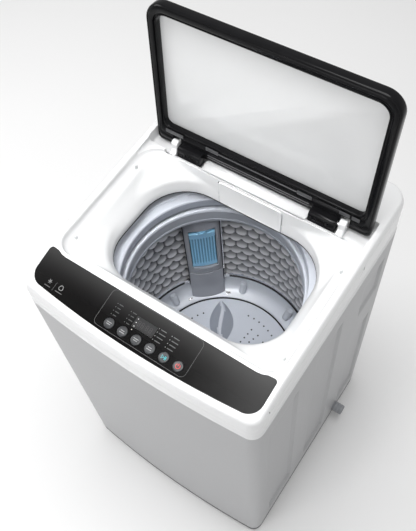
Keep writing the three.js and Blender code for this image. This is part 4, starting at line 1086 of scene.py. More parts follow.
plate = panel_slab(panel_outline(0), -PANEL_T, 0, bevel=0.6)
button_holes = [on_panel(rod(BUTTON_R + 0.6, (x, BUTTON_V, -9), (x, BUTTON_V, 9), 40, local=True))
                for x in BUTTON_X]
display_hole = on_panel(block(DISPLAY_X - 23, DISPLAY_X + 23, DISPLAY_V - 11, DISPLAY_V + 11, -9, 9,
                              local=True))
cut(plate, joined(*button_holes), display_hole)
panel_finish = panel_black("panel_black", PANEL_FRONT + 12, PANEL_BACK)
finished(paint(plate, panel_finish), "panel_plate", "cabinet", ["control_fascia"],
         smooth=25)

# %% Printing inks


def ink(name, colour, strength=0.0):
    """Printed ink, given a faint painted glow when a strength is passed."""
    paint_ink = Paint(name)
    speck = paint_ink.noise(2500, detail=1)
    shade = paint_ink.mix(speck, [c * 0.8 for c in colour], colour)
    paint_ink.set(Base_Color=shade, Roughness=0.45 + speck * 0.1)
    if strength:
        paint_ink.set(Emission_Color=shade, Emission_Strength=strength)
    return paint_ink.material


ink_grey = ink("ink_grey", (0.085, 0.086, 0.088))
ink_pale = ink("ink_pale", (0.26, 0.262, 0.265))
ink_lamp = ink("ink_lamp", (0.62, 0.62, 0.62))
ink_dim = ink("ink_dim", (0.04, 0.041, 0.042))
ink_off = ink("ink_off", (0.022, 0.022, 0.023))
# The cyan and red signs get a faint painted glow.
ink_cyan = ink("ink_cyan", (0.03, 0.42, 0.46), 0.25)
ink_red = ink("ink_red", (0.62, 0.035, 0.03), 0.25)
INK_T = 0.12


def stroke(points, width, height=INK_T, closed=False):
    """A thin printed line along points (x, v) of the panel's plane."""
    deselect()
    count = len(points)
    ring = []
    for side in (1, -1):
        for index in range(count):
            before = points[index - 1] if index or closed else points[index]
            after = points[(index + 1) % count] if index + 1 < count or closed else points[index]
            along = Vector((after[0] - before[0], after[1] - before[1], 0)).normalized()
            normal = Vector((-along.y, along.x, 0)) * side * width / 2
            ring.append(Vector((*points[index], 0)) + normal)
    outer, inner = [p.xy for p in ring[:count]], [p.xy for p in ring[count:]]
    if closed:
        return loft([at_origin(outer, 0), at_origin(outer, height), at_origin(inner, height),
                     at_origin(inner, 0)], closed=True)
    outline = outer + inner[::-1]
    return loft([at_origin(outline, 0), at_origin(outline, height)])


def dot(x, v, r, height=INK_T):
    """A small printed disc."""
    return rod(r, (x, v, 0), (x, v, height), 14, local=True)


# %% Programme field
ROW_GAP = 7.5
frame_half, frame_low, frame_high, frame_r = 102, -44, 31, 10
frame_x = 11
field = [(frame_x + x, v) for x, v in (
    arc(frame_half - frame_r, frame_high - frame_r, frame_r, 0, 90, 6)
    + arc(-frame_half + frame_r, frame_high - frame_r, frame_r, 90, 180, 6)
    + arc(-frame_half + frame_r, frame_low + frame_r, frame_r, 180, 270, 6)
    + arc(frame_half - frame_r, frame_low + frame_r, frame_r, 270, 360, 6))]
marks_grey = [stroke(field, 0.6, closed=True)]
marks_pale, marks_dim = [], []
for x in (BUTTON_X[0], BUTTON_X[1]):
    for row in range(4):
        v = BUTTON_V + 17 + row * ROW_GAP
        marks_dim.append(stroke([(x - 3, v), (x + 4 + (row % 2) * 1.5, v)], 1.5))
        marks_grey.append(dot(x - 7, v, 0.8))
for column in range(2):
    for row in range(4):
        x, v = BUTTON_X[3] + 2 + column * 28, BUTTON_V + 17 + row * ROW_GAP
        marks_pale.append(dot(x - 7, v, 0.75))
        marks_grey.append(stroke([(x - 3, v), (x + 9 + (row % 3), v)], 1.4))
marks_lamp = [dot(BUTTON_X[1] + 13, BUTTON_V + 12 + row * ROW_GAP, 0.9) for row in range(4)]
print("programme marks:", len(marks_grey) + len(marks_pale) + len(marks_dim))

# %% Two small signs near the left corner
snow_x, drop_x, sign_v = -212, -184, -22
for turn in (0, 60, 120):
    dx, dv = 4.6 * math.cos(math.radians(turn)), 4.6 * math.sin(math.radians(turn))
    marks_pale.append(stroke([(snow_x - dx, sign_v - dv), (snow_x + dx, sign_v + dv)], 1.0))
marks_pale.append(stroke(
    [(drop_x + 4.4 * math.cos(a) * (1 - 0.25 * math.sin(a)), sign_v + 4.8 * math.sin(a))
     for a in (math.pi * i / 10 for i in range(20))], 1.0, closed=True))
marks_grey.append(stroke([(-198, sign_v - 13), (-198, sign_v + 5)], 0.5))
marks_grey.append(stroke([(snow_x - 7, sign_v - 10), (snow_x + 7, sign_v - 10)], 1.6))
marks_grey.append(stroke([(drop_x - 8, sign_v - 10), (drop_x + 8, sign_v - 10)], 1.6))
for name, marks, colour in (("print_grey", marks_grey, ink_grey), ("print_pale", marks_pale, ink_pale),
                            ("print_dim", marks_dim, ink_dim), ("print_lamps", marks_lamp, ink_lamp)):
    finished(paint(on_panel(joined(*marks)), colour), name, "cabinet", smooth=0)

# %% Display and its digits
display = block(DISPLAY_X - 22.7, DISPLAY_X + 22.7, DISPLAY_V - 10.7, DISPLAY_V + 10.7, -PANEL_T,
                -0.15, local=True)
glassy = Paint("display_gloss")
glassy.set(Base_Color=glassy.mix(glassy.noise(90), (0.013, 0.013, 0.0135), (0.019, 0.019, 0.02)),
           Roughness=0.3 + glassy.noise(30) * 0.05, Specular_IOR_Level=0.2)
finished(paint(on_panel(display), glassy.material), "display_pane", "cabinet",
         ["display_window"], smooth=0)
SEGMENTS = [((-1, 2), (1, 2)), ((-1, 0), (1, 0)), ((-1, -2), (1, -2)), ((-1, 0), (-1, 2)),
            ((1, 0), (1, 2)), ((-1, -2), (-1, 0)), ((1, -2), (1, 0))]
SEGMENT_X, SEGMENT_V, SEGMENT_T = 2.2 * 0.9, 2.6 * 0.9, 0.08
digits = [stroke([(DISPLAY_X + x + SEGMENT_X * a, DISPLAY_V + SEGMENT_V * b) for a, b in segment],
                 0.7, SEGMENT_T) for x in (-12, -4, 6, 14) for segment in SEGMENTS]
digits += [dot(DISPLAY_X + 1, DISPLAY_V + dv, 0.6, SEGMENT_T) for dv in (-2, 2)]
unlit = on_panel(moved(joined(*digits), Matrix.Translation((0, 0, -0.14 * MM))))
finished(paint(unlit, ink_off), "display_digits", "cabinet", smooth=0)

# %% Buttons


def button_sign(index):
    """Each button's own sign: two bars, or a play and pause sign, or a power sign."""
    x, v = BUTTON_X[index], BUTTON_V
    if index == 4:
        return [stroke([(x - 4, v - 3.2), (x + 0.6, v), (x - 4, v + 3.2)], 1.1, closed=True),
                stroke([(x + 2.6, v - 3.4), (x + 2.6, v + 3.4)], 1.1),
                stroke([(x + 4.8, v - 3.4), (x + 4.8, v + 3.4)], 1.1)]
    if index == 5:
        return [stroke(arc(x, v, 4.2, -235, 55, 20), 1.1), stroke([(x, v), (x, v + 5.2)], 1.1)]
    rows = ((-2.2, 5.4), (1.6, 4.2)) if index % 2 else ((-1.8, 4.4), (1.8, 5.6))
    return [stroke([(x - half, v + dv), (x + half, v + dv)], 1.5) for dv, half in rows]


BUTTONS = ["program", "water", "timer", "option", "start_pause", "power"]
dark_key = plastic("button_face", (0.026, 0.028, 0.031), 0.3, grain=0.1)
for index, name in enumerate(BUTTONS):
    flange = -PANEL_T - 0.6
    cap = turned([(0, flange - 2), (12.4, flange - 2), (12.4, flange), (BUTTON_R, flange),
                  (BUTTON_R, 0.3), (9.7, 0.9), (9.0, 1.35), (7.6, 1.4), (5, 1.15), (0, 1.0)],
                 48, upright=False)
    cap = on_panel(moved(cap, Matrix.Translation(Vector((BUTTON_X[index], BUTTON_V, 0)) * MM)))
    finished(paint(cap, dark_key), name + "_key_cap", name + "_key", [name + "_button"])
    sign = on_panel(moved(joined(*button_sign(index)), Matrix.Translation((0, 0, 1.12 * MM))))
    colour = {4: ink_cyan, 5: ink_red}.get(index, ink_pale)
    finished(paint(sign, colour), name + "_sign", name + "_key", smooth=0)

# %% [markdown]
# ## Lid
# The lid is a frame lofted round a rounded rectangle. Its section has a broad ridge, a groove and a
# thin inner bead, which catch the light as long lines. It is drawn level, about its hinge axis, and
# then turned open with everything fixed to it.

# %% Lid frame
LID_HALF = BASIN_HALF - 4
LID_LEN = HINGE_Y - BASIN_FRONT - 2
LID_OPEN = math.radians(94)
LID_TOP = 26
WINDOW_HALF = LID_HALF - 20
WINDOW_FRONT = -LID_LEN + 22
WINDOW_BACK = -38


def opened(obj):
    """Turns a mesh drawn about the hinge axis, level, into the open lid's place."""
    return moved(obj, standing(0, HINGE_Y, HINGE_Z, (-LID_OPEN, "X")))


lid_outer = rounded(LID_HALF, -LID_LEN, 8, 38, 8)
lid_inner = rounded(WINDOW_HALF, WINDOW_FRONT, WINDOW_BACK, 24, 14)
SECTION = [(0.0, 9), (0.0, 21), (0.03, 23.6), (0.1, 25.3), (0.2, 26), (0.6, 26), (0.63, 25.6),
           (0.65, 25.2), (0.65, 19.8), (1.0, 19.8), (1.0, 8.6), (0.985, 7.4), (0.95, 6.8), (0.9, 6.6),
           (0.86, 7.2), (0.84, 8.6), (0.76, 8.8), (0.735, 6.6), (0.7, 5.2), (0.62, 4.5), (0.5, 4.2),
           (0.38, 4.0), (0.3, 4.2), (0.25, 5.2), (0.21, 5.4), (0.16, 4.6), (0.1, 4.8), (0.04, 6.2)]
lid_frame = loft([at_origin(blended(lid_outer, lid_inner, share), z) for share, z in SECTION],
                 closed=True)
cut(lid_frame, *(block(*beside(side, EAR_X - 2, EAR_X + EAR_T + 2), -21, 9, 3, 27, local=True)
                 for side in sides))
knuckles = []
for side in sides:
    x0, x1 = beside(side, EAR_X - 4 - KNUCKLE_W, EAR_X - 4)
    profile = [(-12, 5), (-12, -9), (-9.5, -12.5), (-6, -14.5), (12, -14.5), (15, -13), (16, -10),
               (16, 5)]
    knuckle = loft([[Vector((x, y, z)) * MM for y, z in profile] for x in (x0, x1)])
    slot = block(*beside(side, EAR_X - 24, EAR_X - 52), -3, 8, -16, -11.5, local=True)
    pin_hole = rod(4.3, (side * (EAR_X - 28), 0, 0), (side * (EAR_X + 6), 0, 0), local=True)
    knuckles.append(soften(cut(knuckle, slot, pin_hole), 1.1, segments=3))
frame_body = joined(soften(lid_frame, 0.8, angle=50), *knuckles)
finished(opened(paint(frame_body, black_gloss)), "lid_rim", "lid", ["lid_frame"],
         smooth=35)

# %% Ribs and pads on the lid's rear bar
bar_parts = [block(-118, 118, y, y + 1.6, 2.6, 4.6, local=True) for y in (-29, -12, -6)]
grey_pads = [block(x0, x1, -33, -24, 2.9, 4.6, local=True) for x0, x1 in
             ((-222, -178), (-122, -92), (90, 122), (180, 202), (206, 222))]
bar_dark = plastic("bar_rib", (0.085, 0.086, 0.09), 0.25, grain=0.1)
pad_grey = plastic("bar_pad", (0.062, 0.063, 0.066), 0.32, grain=0.2)
ribs_piece = opened(soften(joined(*bar_parts), 0.5))
finished(paint(ribs_piece, bar_dark), "lid_bar_ribs", "lid")
finished(paint(opened(soften(joined(*grey_pads), 0.8)), pad_grey), "lid_bar_pads", "lid")

# %% Lid window and hinge pins
lap = 6.7
pane_outer = rounded(WINDOW_HALF + lap, WINDOW_FRONT - lap, WINDOW_BACK + lap, 26, 16)
pane_inner = rounded(WINDOW_HALF + lap - 1, WINDOW_FRONT - lap + 1, WINDOW_BACK + lap - 1, 25, 15)
pane_z = LID_TOP - 6
lid_pane = loft([at_origin(plan, pane_z + up) for plan, up in (
    (pane_inner, 0), (pane_outer, 0.8), (pane_outer, 4.2), (pane_inner, 5))])
finished(opened(paint(lid_pane, window_clear)), "lid_window", "lid", ["lid_glass"],
         smooth=50)


def pin_part(radius, side, near, far):
    """A length of a hinge pin, between two distances beyond the ear's inner face."""
    return rod(radius, (side * (EAR_X + near), 0, 0), (side * (EAR_X + far), 0, 0), 40, local=True)


for side, name in ((-1, "left"), (1, "right")):
    near, far = (-27, EAR_T + 1) if side > 0 else (EAR_T + 1, -27)
    pin = pin_part(4, side, near, far)
    groove = pin_part(5, side, EAR_T - 1.6, EAR_T - 0.8)
    cut(pin, cut(groove, pin_part(3.3, side, EAR_T - 1.7, EAR_T - 0.7)))
    finished(opened(paint(soften(pin, 0.4), screw_steel)), f"pin_{name}", "lid",
             [f"hinge_pin_{name}"])

# %% [markdown]
# ## Detergent drawer
# The drawer's face is a white panel that reaches down into the opening, with rounded upper corners.
# Behind it the tray has two compartments. The sleeve that it slides in is a thin box under the
# cover's rear deck.

# %% Drawer
FACE_T = 6
FACE_LOW = THROAT_Z - 11
face_plan = (
    arc(DRAWER_HALF - 9, DRAWER_TOP - 9, 9, 0, 90)
    + arc(-DRAWER_HALF + 9, DRAWER_TOP - 9, 9, 90, 180)
    + arc(-DRAWER_HALF + 2, FACE_LOW + 2, 2, 180, 270)
    + arc(DRAWER_HALF - 2, FACE_LOW + 2, 2, 270, 360))


def shrunk(outline, by):
    """An outline drawn in towards its own middle by about that much on every side."""
    xs, zs = [x for x, _ in outline], [z for _, z in outline]
    cx, cz = (min(xs) + max(xs)) / 2, (min(zs) + max(zs)) / 2
    fx, fz = 1 - 2 * by / (max(xs) - min(xs)), 1 - 2 * by / (max(zs) - min(zs))
    return [(cx + (x - cx) * fx, cz + (z - cz) * fz) for x, z in outline]


face_rings = [(0, DRAWER_Y + FACE_T), (0, DRAWER_Y + 1.6), (0.5, DRAWER_Y + 0.5), (1.6, DRAWER_Y),
              (2.4, DRAWER_Y + 0.3), (3.4, DRAWER_Y + 0.6)]
face = loft([[place(x, y, z) for x, z in shrunk(face_plan, by)] for by, y in face_rings])
tray_low, tray_top = DRAWER_TOP - DRAWER_H + 2, DRAWER_TOP - 9
tray_back = DRAWER_Y + 96
tray = block(-DRAWER_HALF + 6, DRAWER_HALF - 6, DRAWER_Y + FACE_T - 1, tray_back, tray_low, tray_top)
rooms = [soften(block(x0, x1, DRAWER_Y + FACE_T + 2.5, tray_back - 2.5, tray_low + 2.5, tray_top + 9),
                4, segments=4) for x0, x1 in ((-DRAWER_HALF + 8.5, -1.25), (1.25, DRAWER_HALF - 8.5))]
cut(tray, *rooms)
siphon = turned([(0, tray_low + 2), (8, tray_low + 2), (7, tray_low + 24), (5.6, tray_low + 26),
                 (0, tray_low + 26)], 28, 40, tray_back - 18)
level_marks = [block(-DRAWER_HALF + 8.3, -DRAWER_HALF + 8.9, y, y + 9, tray_top - drop,
                     tray_top - drop + 0.8) for y in (160, 180) for drop in (8, 20)]
drawer = joined(face, soften(tray, 0.7), siphon, *level_marks)
paint(drawer, white, light_grey, pick=lambda at, normal: int(at.y > DRAWER_Y + FACE_T + 0.1))
finished(drawer, "drawer_tray", "drawer", ["detergent_drawer"])

# %% Rubber lip of the opening
lip = loft([at_height(throat_plan(outset), THROAT_Z + height) for outset, height in (
    (-0.2, -12.2), (-0.4, -15.5), (2.6, -15.5), (2.8, -12.2))], closed=True)
finished(paint(lip, rubber), "throat_lip", "cabinet", smooth=60)

# %% Sleeve of the drawer
sleeve_half = DRAWER_HALF + 1.5
roof = POCKET_Z - 3.3
sleeve = block(-sleeve_half - 2.5, sleeve_half + 2.5, POCKET_FRONT + 2, tray_back + 4,
               DRAWER_TOP - DRAWER_H - 4, roof)
sleeve_room = block(-sleeve_half, sleeve_half, POCKET_FRONT, tray_back + 1.5,
                    DRAWER_TOP - DRAWER_H - 1.5, roof - 2.5)
jets = [rod(1.6, (x, y, roof - 9), (x, y, roof + 3), 12) for x in range(-60, 61, 12)
        for y in range(185, 210, 8)]
cut(sleeve, sleeve_room, joined(*jets))
finished(paint(soften(sleeve, 0.6), white_inner), "drawer_sleeve", "cabinet",
         ["drawer_housing"])

# %% [markdown]
# ## Tub, rings and drum
# The outer tub never shows from above: only the ring clipped on its rim does, a bright flat step
# with a wall that drops to the drum. The drum's own top is the balance ring, hollow and filled with
# brine, so it is deep and smooth. Both are turned from their sections.

# %% Tub ring and balance ring
BALANCE_R = DRUM_R - 44
RING_R = BALANCE_R + 6
TUB_TOP = 756
BALANCE_TOP = 727
BALANCE_LOW = BALANCE_TOP - 43
WELL_R = DRUM_R - 47

tub_ring = turned([
    (RING_R, BALANCE_TOP + 8), (RING_R + 1.2, BALANCE_TOP + 7), (RING_R + 4, BALANCE_TOP + 8),
    (RING_R + 4, TUB_TOP), (TUB_R + 0.3, TUB_TOP), (TUB_R + 0.3, TUB_TOP - 10),
    (TUB_R + 3.3, TUB_TOP - 10), (TUB_R + 1, TUB_TOP + 8), (TUB_R - 2, TUB_TOP + 18),
    (TUB_R - 6, TUB_TOP + 21), (TUB_R - 15, TUB_TOP + 21), (TUB_R - 19.4, TUB_TOP + 18.6),
    (TUB_R - 20, TUB_TOP + 12.6), (TUB_R - 22, TUB_TOP + 12.6), (TUB_R - 22.6, TUB_TOP + 15),
    (TUB_R - 25, TUB_TOP + 15.4), (TUB_R - 28, TUB_TOP + 14), (RING_R + 24, TUB_TOP + 11.2),
    (RING_R + 21.6, TUB_TOP + 10.4), (RING_R + 20.2, TUB_TOP + 8), (RING_R + 19.4, TUB_TOP + 5),
    (RING_R + 17.5, TUB_TOP + 4.2), (RING_R + 4, TUB_TOP + 4), (RING_R + 1.4, TUB_TOP + 3.4),
    (RING_R + 0.3, TUB_TOP + 1.8), (RING_R, TUB_TOP - 1)], 160, 0, DRUM_Y)


def from_drum(at):
    """Distance of a place in the plan from the drum's axis."""
    return math.hypot(at.x, at.y - DRUM_Y)


def round_drum(r, angle):
    """The place in the plan at a distance and an angle from the drum's axis."""
    return r * math.cos(angle), DRUM_Y + r * math.sin(angle)


def tub_ring_shade(at, normal):
    """Pale, with painted shade: grey walls and a black line in the groove round the clip."""
    r = from_drum(at)
    if abs(r - TUB_R + 21) < 1.6 and at.z > TUB_TOP + 12:
        return 2
    return int(at.z < TUB_TOP - 1 or r > TUB_R - 19)


finished(paint(tub_ring, tub_pale, tub_painted_shade, black_painted_shade, pick=tub_ring_shade),
         "tub_rim", "tub", ["tub_ring"])

balance = turned([
    (BALANCE_R, BALANCE_LOW + 1), (BALANCE_R + 1, BALANCE_LOW), (DRUM_R + 4, BALANCE_LOW),
    (DRUM_R + 4, BALANCE_TOP - 8), (BALANCE_R + 8, BALANCE_TOP - 1.5),
    (BALANCE_R + 5.4, BALANCE_TOP - 0.2), (BALANCE_R + 3, BALANCE_TOP),
    (BALANCE_R + 1, BALANCE_TOP - 1), (BALANCE_R + 0.1, BALANCE_TOP - 3.4),
    (BALANCE_R, BALANCE_TOP - 8), (BALANCE_R + 1.2, BALANCE_TOP - 9.4),
    (BALANCE_R + 1.2, BALANCE_LOW + 8), (BALANCE_R, BALANCE_LOW + 6.6)], 160, 0, DRUM_Y)


# Painted shade: below its crest the ring is darker.
paint(balance, tub_pale, dark_painted_shade, pick=lambda at, normal: int(at.z < BALANCE_TOP - 8))
finished(balance, "balance_rim", "basket", ["balance_ring"])

# %% [markdown]
# The drum wall is steel sheet pressed into rows of overlapping scales, like roof tiles: each one
# swells towards its round lower edge and steps back to the sheet below. A height for every point of
# a fine grid gives that, and the grid is then wrapped into a cylinder and thickened.

# %% Embossed drum wall
DRUM_COLUMNS = 48
DRUM_ROWS = 10
WALL_LOW, WALL_HIGH = extent("spin_drum", 2)


def scale_height(u, v):
    """How far the sheet stands in at u columns and v rows: the proudest of the nearby scales."""
    best = 0.0
    for row in (math.floor(v) - 1, math.floor(v), math.floor(v) + 1):
        stagger = 0.5 * (row % 2)
        middle = round(u - stagger) + stagger
        dx, dy = u - middle, v - row - 0.62
        reach = math.hypot(dx / 0.53, dy / 0.62)
        if reach < 1:
            swell = 0.34 + 0.66 * smooth_step(0.62 - dy, 0, 1.05)
            best = max(best, swell * smooth_step(1 - reach, 0, 0.16))
    return best


COLUMN_POINTS, ROW_POINTS = 9, 10
columns, rows = DRUM_COLUMNS * COLUMN_POINTS, (DRUM_ROWS + 1) * ROW_POINTS
scale_patch = [[scale_height(i / COLUMN_POINTS, j / ROW_POINTS + 2) for i in range(columns)]
               for j in range(2 * ROW_POINTS)]


def on_wall(u, v):
    """A grid point wrapped into the drum, with its scales standing in from the sheet."""
    column, row = round((u + 0.5) * columns), round((v + 0.5) * rows)
    share = row / rows
    plain = smooth_step(min(share, 1 - share), 0.012, 0.035)
    height = scale_patch[row % (2 * ROW_POINTS)][column % columns] * plain * SCALE_DEPTH
    x, y = round_drum(SHEET_R - height, 2 * math.pi * column / columns)
    return place(x, y, WALL_LOW + (WALL_HIGH - WALL_LOW) * share)


drum_wall = sheet(columns, rows, on_wall, merge=1e-5)
apply(drum_wall, "SOLIDIFY", thickness=0.5 * MM, offset=1.0)
finished(paint(drum_wall, drum_steel), "drum_wall", "basket", ["spin_drum"], smooth=60)

# %% Perforations
hole_stands = []
for row in range(1, DRUM_ROWS * 2, 2):
    z = WALL_LOW + (WALL_HIGH - WALL_LOW) * (row + 0.55) / (2 * (DRUM_ROWS + 1))
    for column in range(0, DRUM_COLUMNS, 2):
        angle = 2 * math.pi / DRUM_COLUMNS * (column + 0.5 * (row // 2 % 2) + 0.5)
        hole_stands.append(standing(*round_drum(DRUM_R - 1.0, angle), z,
                                    (angle, "Z"), (-QUARTER, "Y")))
# Each perforation is a flat black disc on the sheet: painted shade where a hole would be.
bead = turned([(0, 0), (1.7, 0), (1.9, 0.25), (0, 0.28)], 8, upright=False)
perforations = scattered(bead, hole_stands)
finished(paint(perforations, black_painted_shade), "drum_holes", "basket", smooth=0)

# %% [markdown]
# The drum's foot is a plastic bowl. It curves in from the steel wall to the pulsator's edge, and
# carries upright posts that lift the laundry. Its upper wall gets painted shade, and its top face is
# painted black as shade below the steel.

# %% Drum base with its posts
FILTER_ANGLE = 133.5
BASE_TOP = 372
base = turned([
    (14, 288), (216, 288), (222, 289.4), (229, 296), (232, 302), (232, BASE_TOP - 1),
    (231, BASE_TOP), (225.4, BASE_TOP), (224.5, BASE_TOP - 1), (224.2, 363), (223, 355),
    (220.4, 347), (216.4, 340.4), (211, 335.4), (205, 332), (198, 329.4), (191, 327.6),
    (187, 326), (185.4, 323.6), (185, 320), (185, 302), (183.6, 300), (14, 300)], 144, 0, DRUM_Y)


def post(azimuth):
    """A rounded upright post on the bowl's wall."""
    low, high = ((*round_drum(r, math.radians(azimuth)), z) for r, z in ((203, 331), (218, 362)))
    return soften(rod(9.5, low, high, 24), 4.5, segments=5)


posts = [post(azimuth) for azimuth in (107.5, 68, 28.5, -11, -50.5, -90, -129.5, -160.5, 160)]
cut(base, *posts, how="UNION")


def base_shade(at, normal):
    """Pale, with painted shade: a darker upper wall and a black line on top."""
    return 2 if at.z > BASE_TOP - 1.2 else int(from_drum(at) > 206 and at.z > 340)


finished(paint(base, tub_pale, bowl_painted_shade, black_painted_shade, pick=base_shade), "drum_bowl", "basket",
         ["drum_base"])

# %% [markdown]
# ## Lint filter
# The filter column stands against the drum wall. Its face bulges gently towards the middle of the
# drum, its foot is a separate moulding, and the cassette sits in a pocket with rounded corners.

# %% Filter column
COLUMN_HALF = 44
POCKET_HALF = 33.2
CASSETTE_LOW, CASSETTE_TOP = 458, 608
COLUMN_LOW, COLUMN_HIGH, COLUMN_STEP = 325, 683, 430
turn_filter = math.radians(FILTER_ANGLE)
filter_in = Vector((math.cos(turn_filter), math.sin(turn_filter), 0))
filter_across = Vector((math.sin(turn_filter), -math.cos(turn_filter), 0))


def by_filter(across, r, z):
    """A point beside the filter's middle plane, at a distance from the drum axis, in the plan."""
    point = filter_in * r + filter_across * across
    return point.x, point.y + DRUM_Y, z


FILTER_FRAME = standing(0, DRUM_Y, 0, (turn_filter - QUARTER, "Z"))


def column_section(z, face, bulge):
    """The column's level section: a bulged face, rounded edges and a straight back."""
    front = [(COLUMN_HALF * i / 12, face + bulge * (i / 12) ** 2) for i in range(-12, 13)]
    edge, back_r = front[-1][1], 230.1
    flank = [(COLUMN_HALF + 0.9, edge + 1.2), (COLUMN_HALF + 1, edge + 4),
             (COLUMN_HALF + 1, back_r - 1), (COLUMN_HALF, back_r)]
    return [place(*by_filter(x, r, z)) for x, r in front + flank + mirrored(flank)]


foot_lines = [(COLUMN_LOW, 190, 6), (333, 191.5, 6), (345, 196, 7), (360, 199.5, 8), (380, 201.5, 8.5),
              (405, 202.6, 9), (COLUMN_STEP - 3, 203, 9), (COLUMN_STEP - 1.6, 203.4, 9)]
upper_lines = [(COLUMN_STEP, 206.2, 9), (COLUMN_STEP + 0.4, 204.6, 9), (COLUMN_STEP + 1.4, 204, 9),
               (450, 204, 9), (CASSETTE_LOW, 204, 9), (CASSETTE_TOP, 204, 9), (640, 204, 9),
               (COLUMN_HIGH - 1, 204, 9), (COLUMN_HIGH, 205, 9)]
foot = loft([column_section(*line) for line in foot_lines])
upper = loft([column_section(*line) for line in upper_lines])
niche = block(-POCKET_HALF, POCKET_HALF, 190, 222, CASSETTE_LOW - 3, CASSETTE_TOP + 16, local=True)
soften(niche, 5, segments=4)
moved(niche, FILTER_FRAME)
cut(upper, niche)


def across_and_in(at):
    """How far a place is to the side of the filter's middle plane, and along it."""
    out = Vector((at.x, at.y - DRUM_Y, 0))
    return filter_across.dot(out), filter_in.dot(out)


def column_shade(at, normal):
    """Grey, with painted shade in the pocket and on the flanks."""
    across, r = across_and_in(at)
    hollow = (abs(across) < POCKET_HALF + 0.1 and r > 206
              and CASSETTE_LOW - 3.2 < at.z < CASSETTE_TOP + 16.2)
    return int(hollow or abs(normal.dot(filter_in)) < 0.5)


def centred(side, off, half, *rest):
    """A box drawn in the filter's frame, its middle at a distance to one side."""
    middle = side * (COLUMN_HALF + off)
    return block(middle - half, middle + half, *rest, local=True)


# Thin black strips along both sides of the column: painted shade in the gaps beside it.
seams = [moved(centred(side, 1.2, 1, 211, 229, BASE_TOP, COLUMN_HIGH), FILTER_FRAME) for side in sides]
finished(paint(joined(soften(foot, 0.5), upper), column_grey, dark_painted_shade, pick=column_shade),
         "filter_tower", "basket", ["filter_column"])
finished(paint(joined(*seams), black_painted_shade), "filter_tower_seams", "basket", smooth=0)

# %% Steel clips beside the column, and a bright strip as painted highlight
# The bright steel strip on the right side only is a painted highlight along the column's right edge.
strip = centred(1, 4.4, 1.2, 221, 222.2, BASE_TOP + 2, COLUMN_HIGH)
edges = [moved(soften(strip, 0.4), FILTER_FRAME)]
for side in sides:
    clip = centred(side, 10, 7, 214, 217, BASE_TOP + 2, BASE_TOP + 15)
    tab = centred(side, 8, 6, 187, 200, 328, 330.5)
    edges += [moved(soften(shape, 0.5), FILTER_FRAME) for shape in (clip, tab)]
hem = turned([(DRUM_R - 3.6, BASE_TOP + 2), (DRUM_R - 2.8, BASE_TOP + 2), (DRUM_R - 1, BASE_TOP + 9),
              (DRUM_R - 1.4, BASE_TOP + 9.6), (DRUM_R - 3.6, BASE_TOP + 3.4)], 144, 0, DRUM_Y)
finished(paint(joined(hem, *edges), bright_steel), "drum_trim", "basket")

# %% Ribbed cassette
CASSETTE_HALF = 32
CASSETTE_RIBS = 9
CASSETTE_FACE = 209.4
CASSETTE_BULGE = 6


def cassette_section(z, ribs, proud, trim=0.0):
    """The cassette's level section: a bulged face with upright ribs, and a straight back."""
    half = CASSETTE_HALF - trim
    count = CASSETTE_RIBS * 8
    front = []
    for i in range(count + 1):
        x = half * (2 * i / count - 1)
        wave = 0.5 - 0.5 * math.cos(2 * math.pi * CASSETTE_RIBS * i / count)
        face_r = CASSETTE_FACE + trim - proud + CASSETTE_BULGE * (x / COLUMN_HALF) ** 2
        front.append((x, face_r + ribs * (2.4 - 2.4 * wave ** 0.5)))
    outline = front + [(half, 216.6), (-half, 216.6)]
    return [place(*by_filter(x, r, z)) for x, r in outline]


cassette = loft([cassette_section(*line) for line in (
    (CASSETTE_LOW, 0, 0, 1.2), (CASSETTE_LOW + 1, 0, 0.2), (CASSETTE_LOW + 14, 0, 0.2),
    (CASSETTE_LOW + 18, 1, 0.2), (CASSETTE_TOP - 26, 1, 0.2), (CASSETTE_TOP - 22, 0, 0.2),
    (CASSETTE_TOP - 16, 0, 0.4), (CASSETTE_TOP - 14, 0, 2.6), (CASSETTE_TOP - 1, 0, 2.8),
    (CASSETTE_TOP, 0, 1.8, 0.6))])
tab = soften(block(-11, 11, 205.4, 211, CASSETTE_TOP - 4, CASSETTE_TOP + 11, local=True), 1.4,
             segments=3)
tongue = soften(block(-6, 6, 203.6, 208, CASSETTE_TOP - 2, CASSETTE_TOP + 6, local=True), 1)


def cassette_shade(at, normal):
    """Painted shade: the grooves between the ribs are darker."""
    across, r = across_and_in(at)
    sunk = r - CASSETTE_FACE + 0.2 - CASSETTE_BULGE * (across / COLUMN_HALF) ** 2
    return int(0.9 < sunk < 4 and CASSETTE_LOW + 15 < at.z < CASSETTE_TOP - 23)


cassette = joined(cassette, moved(tab, FILTER_FRAME), moved(tongue, FILTER_FRAME))
finished(paint(cassette, blue, groove_painted_shade, pick=cassette_shade), "filter_cassette", "lint_cassette",
         ["lint_filter"])

# %% [markdown]
# ## Pulsator
# A shallow dish with three leaf-shaped blades. Each blade is pointed at both ends, with flanks that
# sweep up to a crest, and rows of small holes lie between the blades.

# %% Pulsator dish and blades
PULSATOR_R = WELL_R - 2.5
BLADE_ANGLE = 124
LEAF_LEAN, LEAF_INNER, LEAF_LONG = 5, 50, 127
DISH_FACE = [(44, 316.4), (56, 315), (80, 314.6), (109.5, 315.4), (130, 317), (150, 319),
             (170.5, 321.4)]
dish = turned([
    (5, 303), (181.5, 303), (PULSATOR_R, 304), (PULSATOR_R, 322), (182, 323), (180.6, 323.3),
    (178, 322.8), *DISH_FACE[::-1], (36, 319.6), (31, 325), (28, 328.6), (24, 330), (5, 330)],
    144, 0, DRUM_Y)


def dish_height(r):
    """Height of the dish's face at a distance from its axis."""
    for (r0, z0), (r1, z1) in zip(DISH_FACE, DISH_FACE[1:]):
        if r <= r1:
            return z0 + (z1 - z0) * (r - r0) / (r1 - r0)
    return DISH_FACE[-1][1]


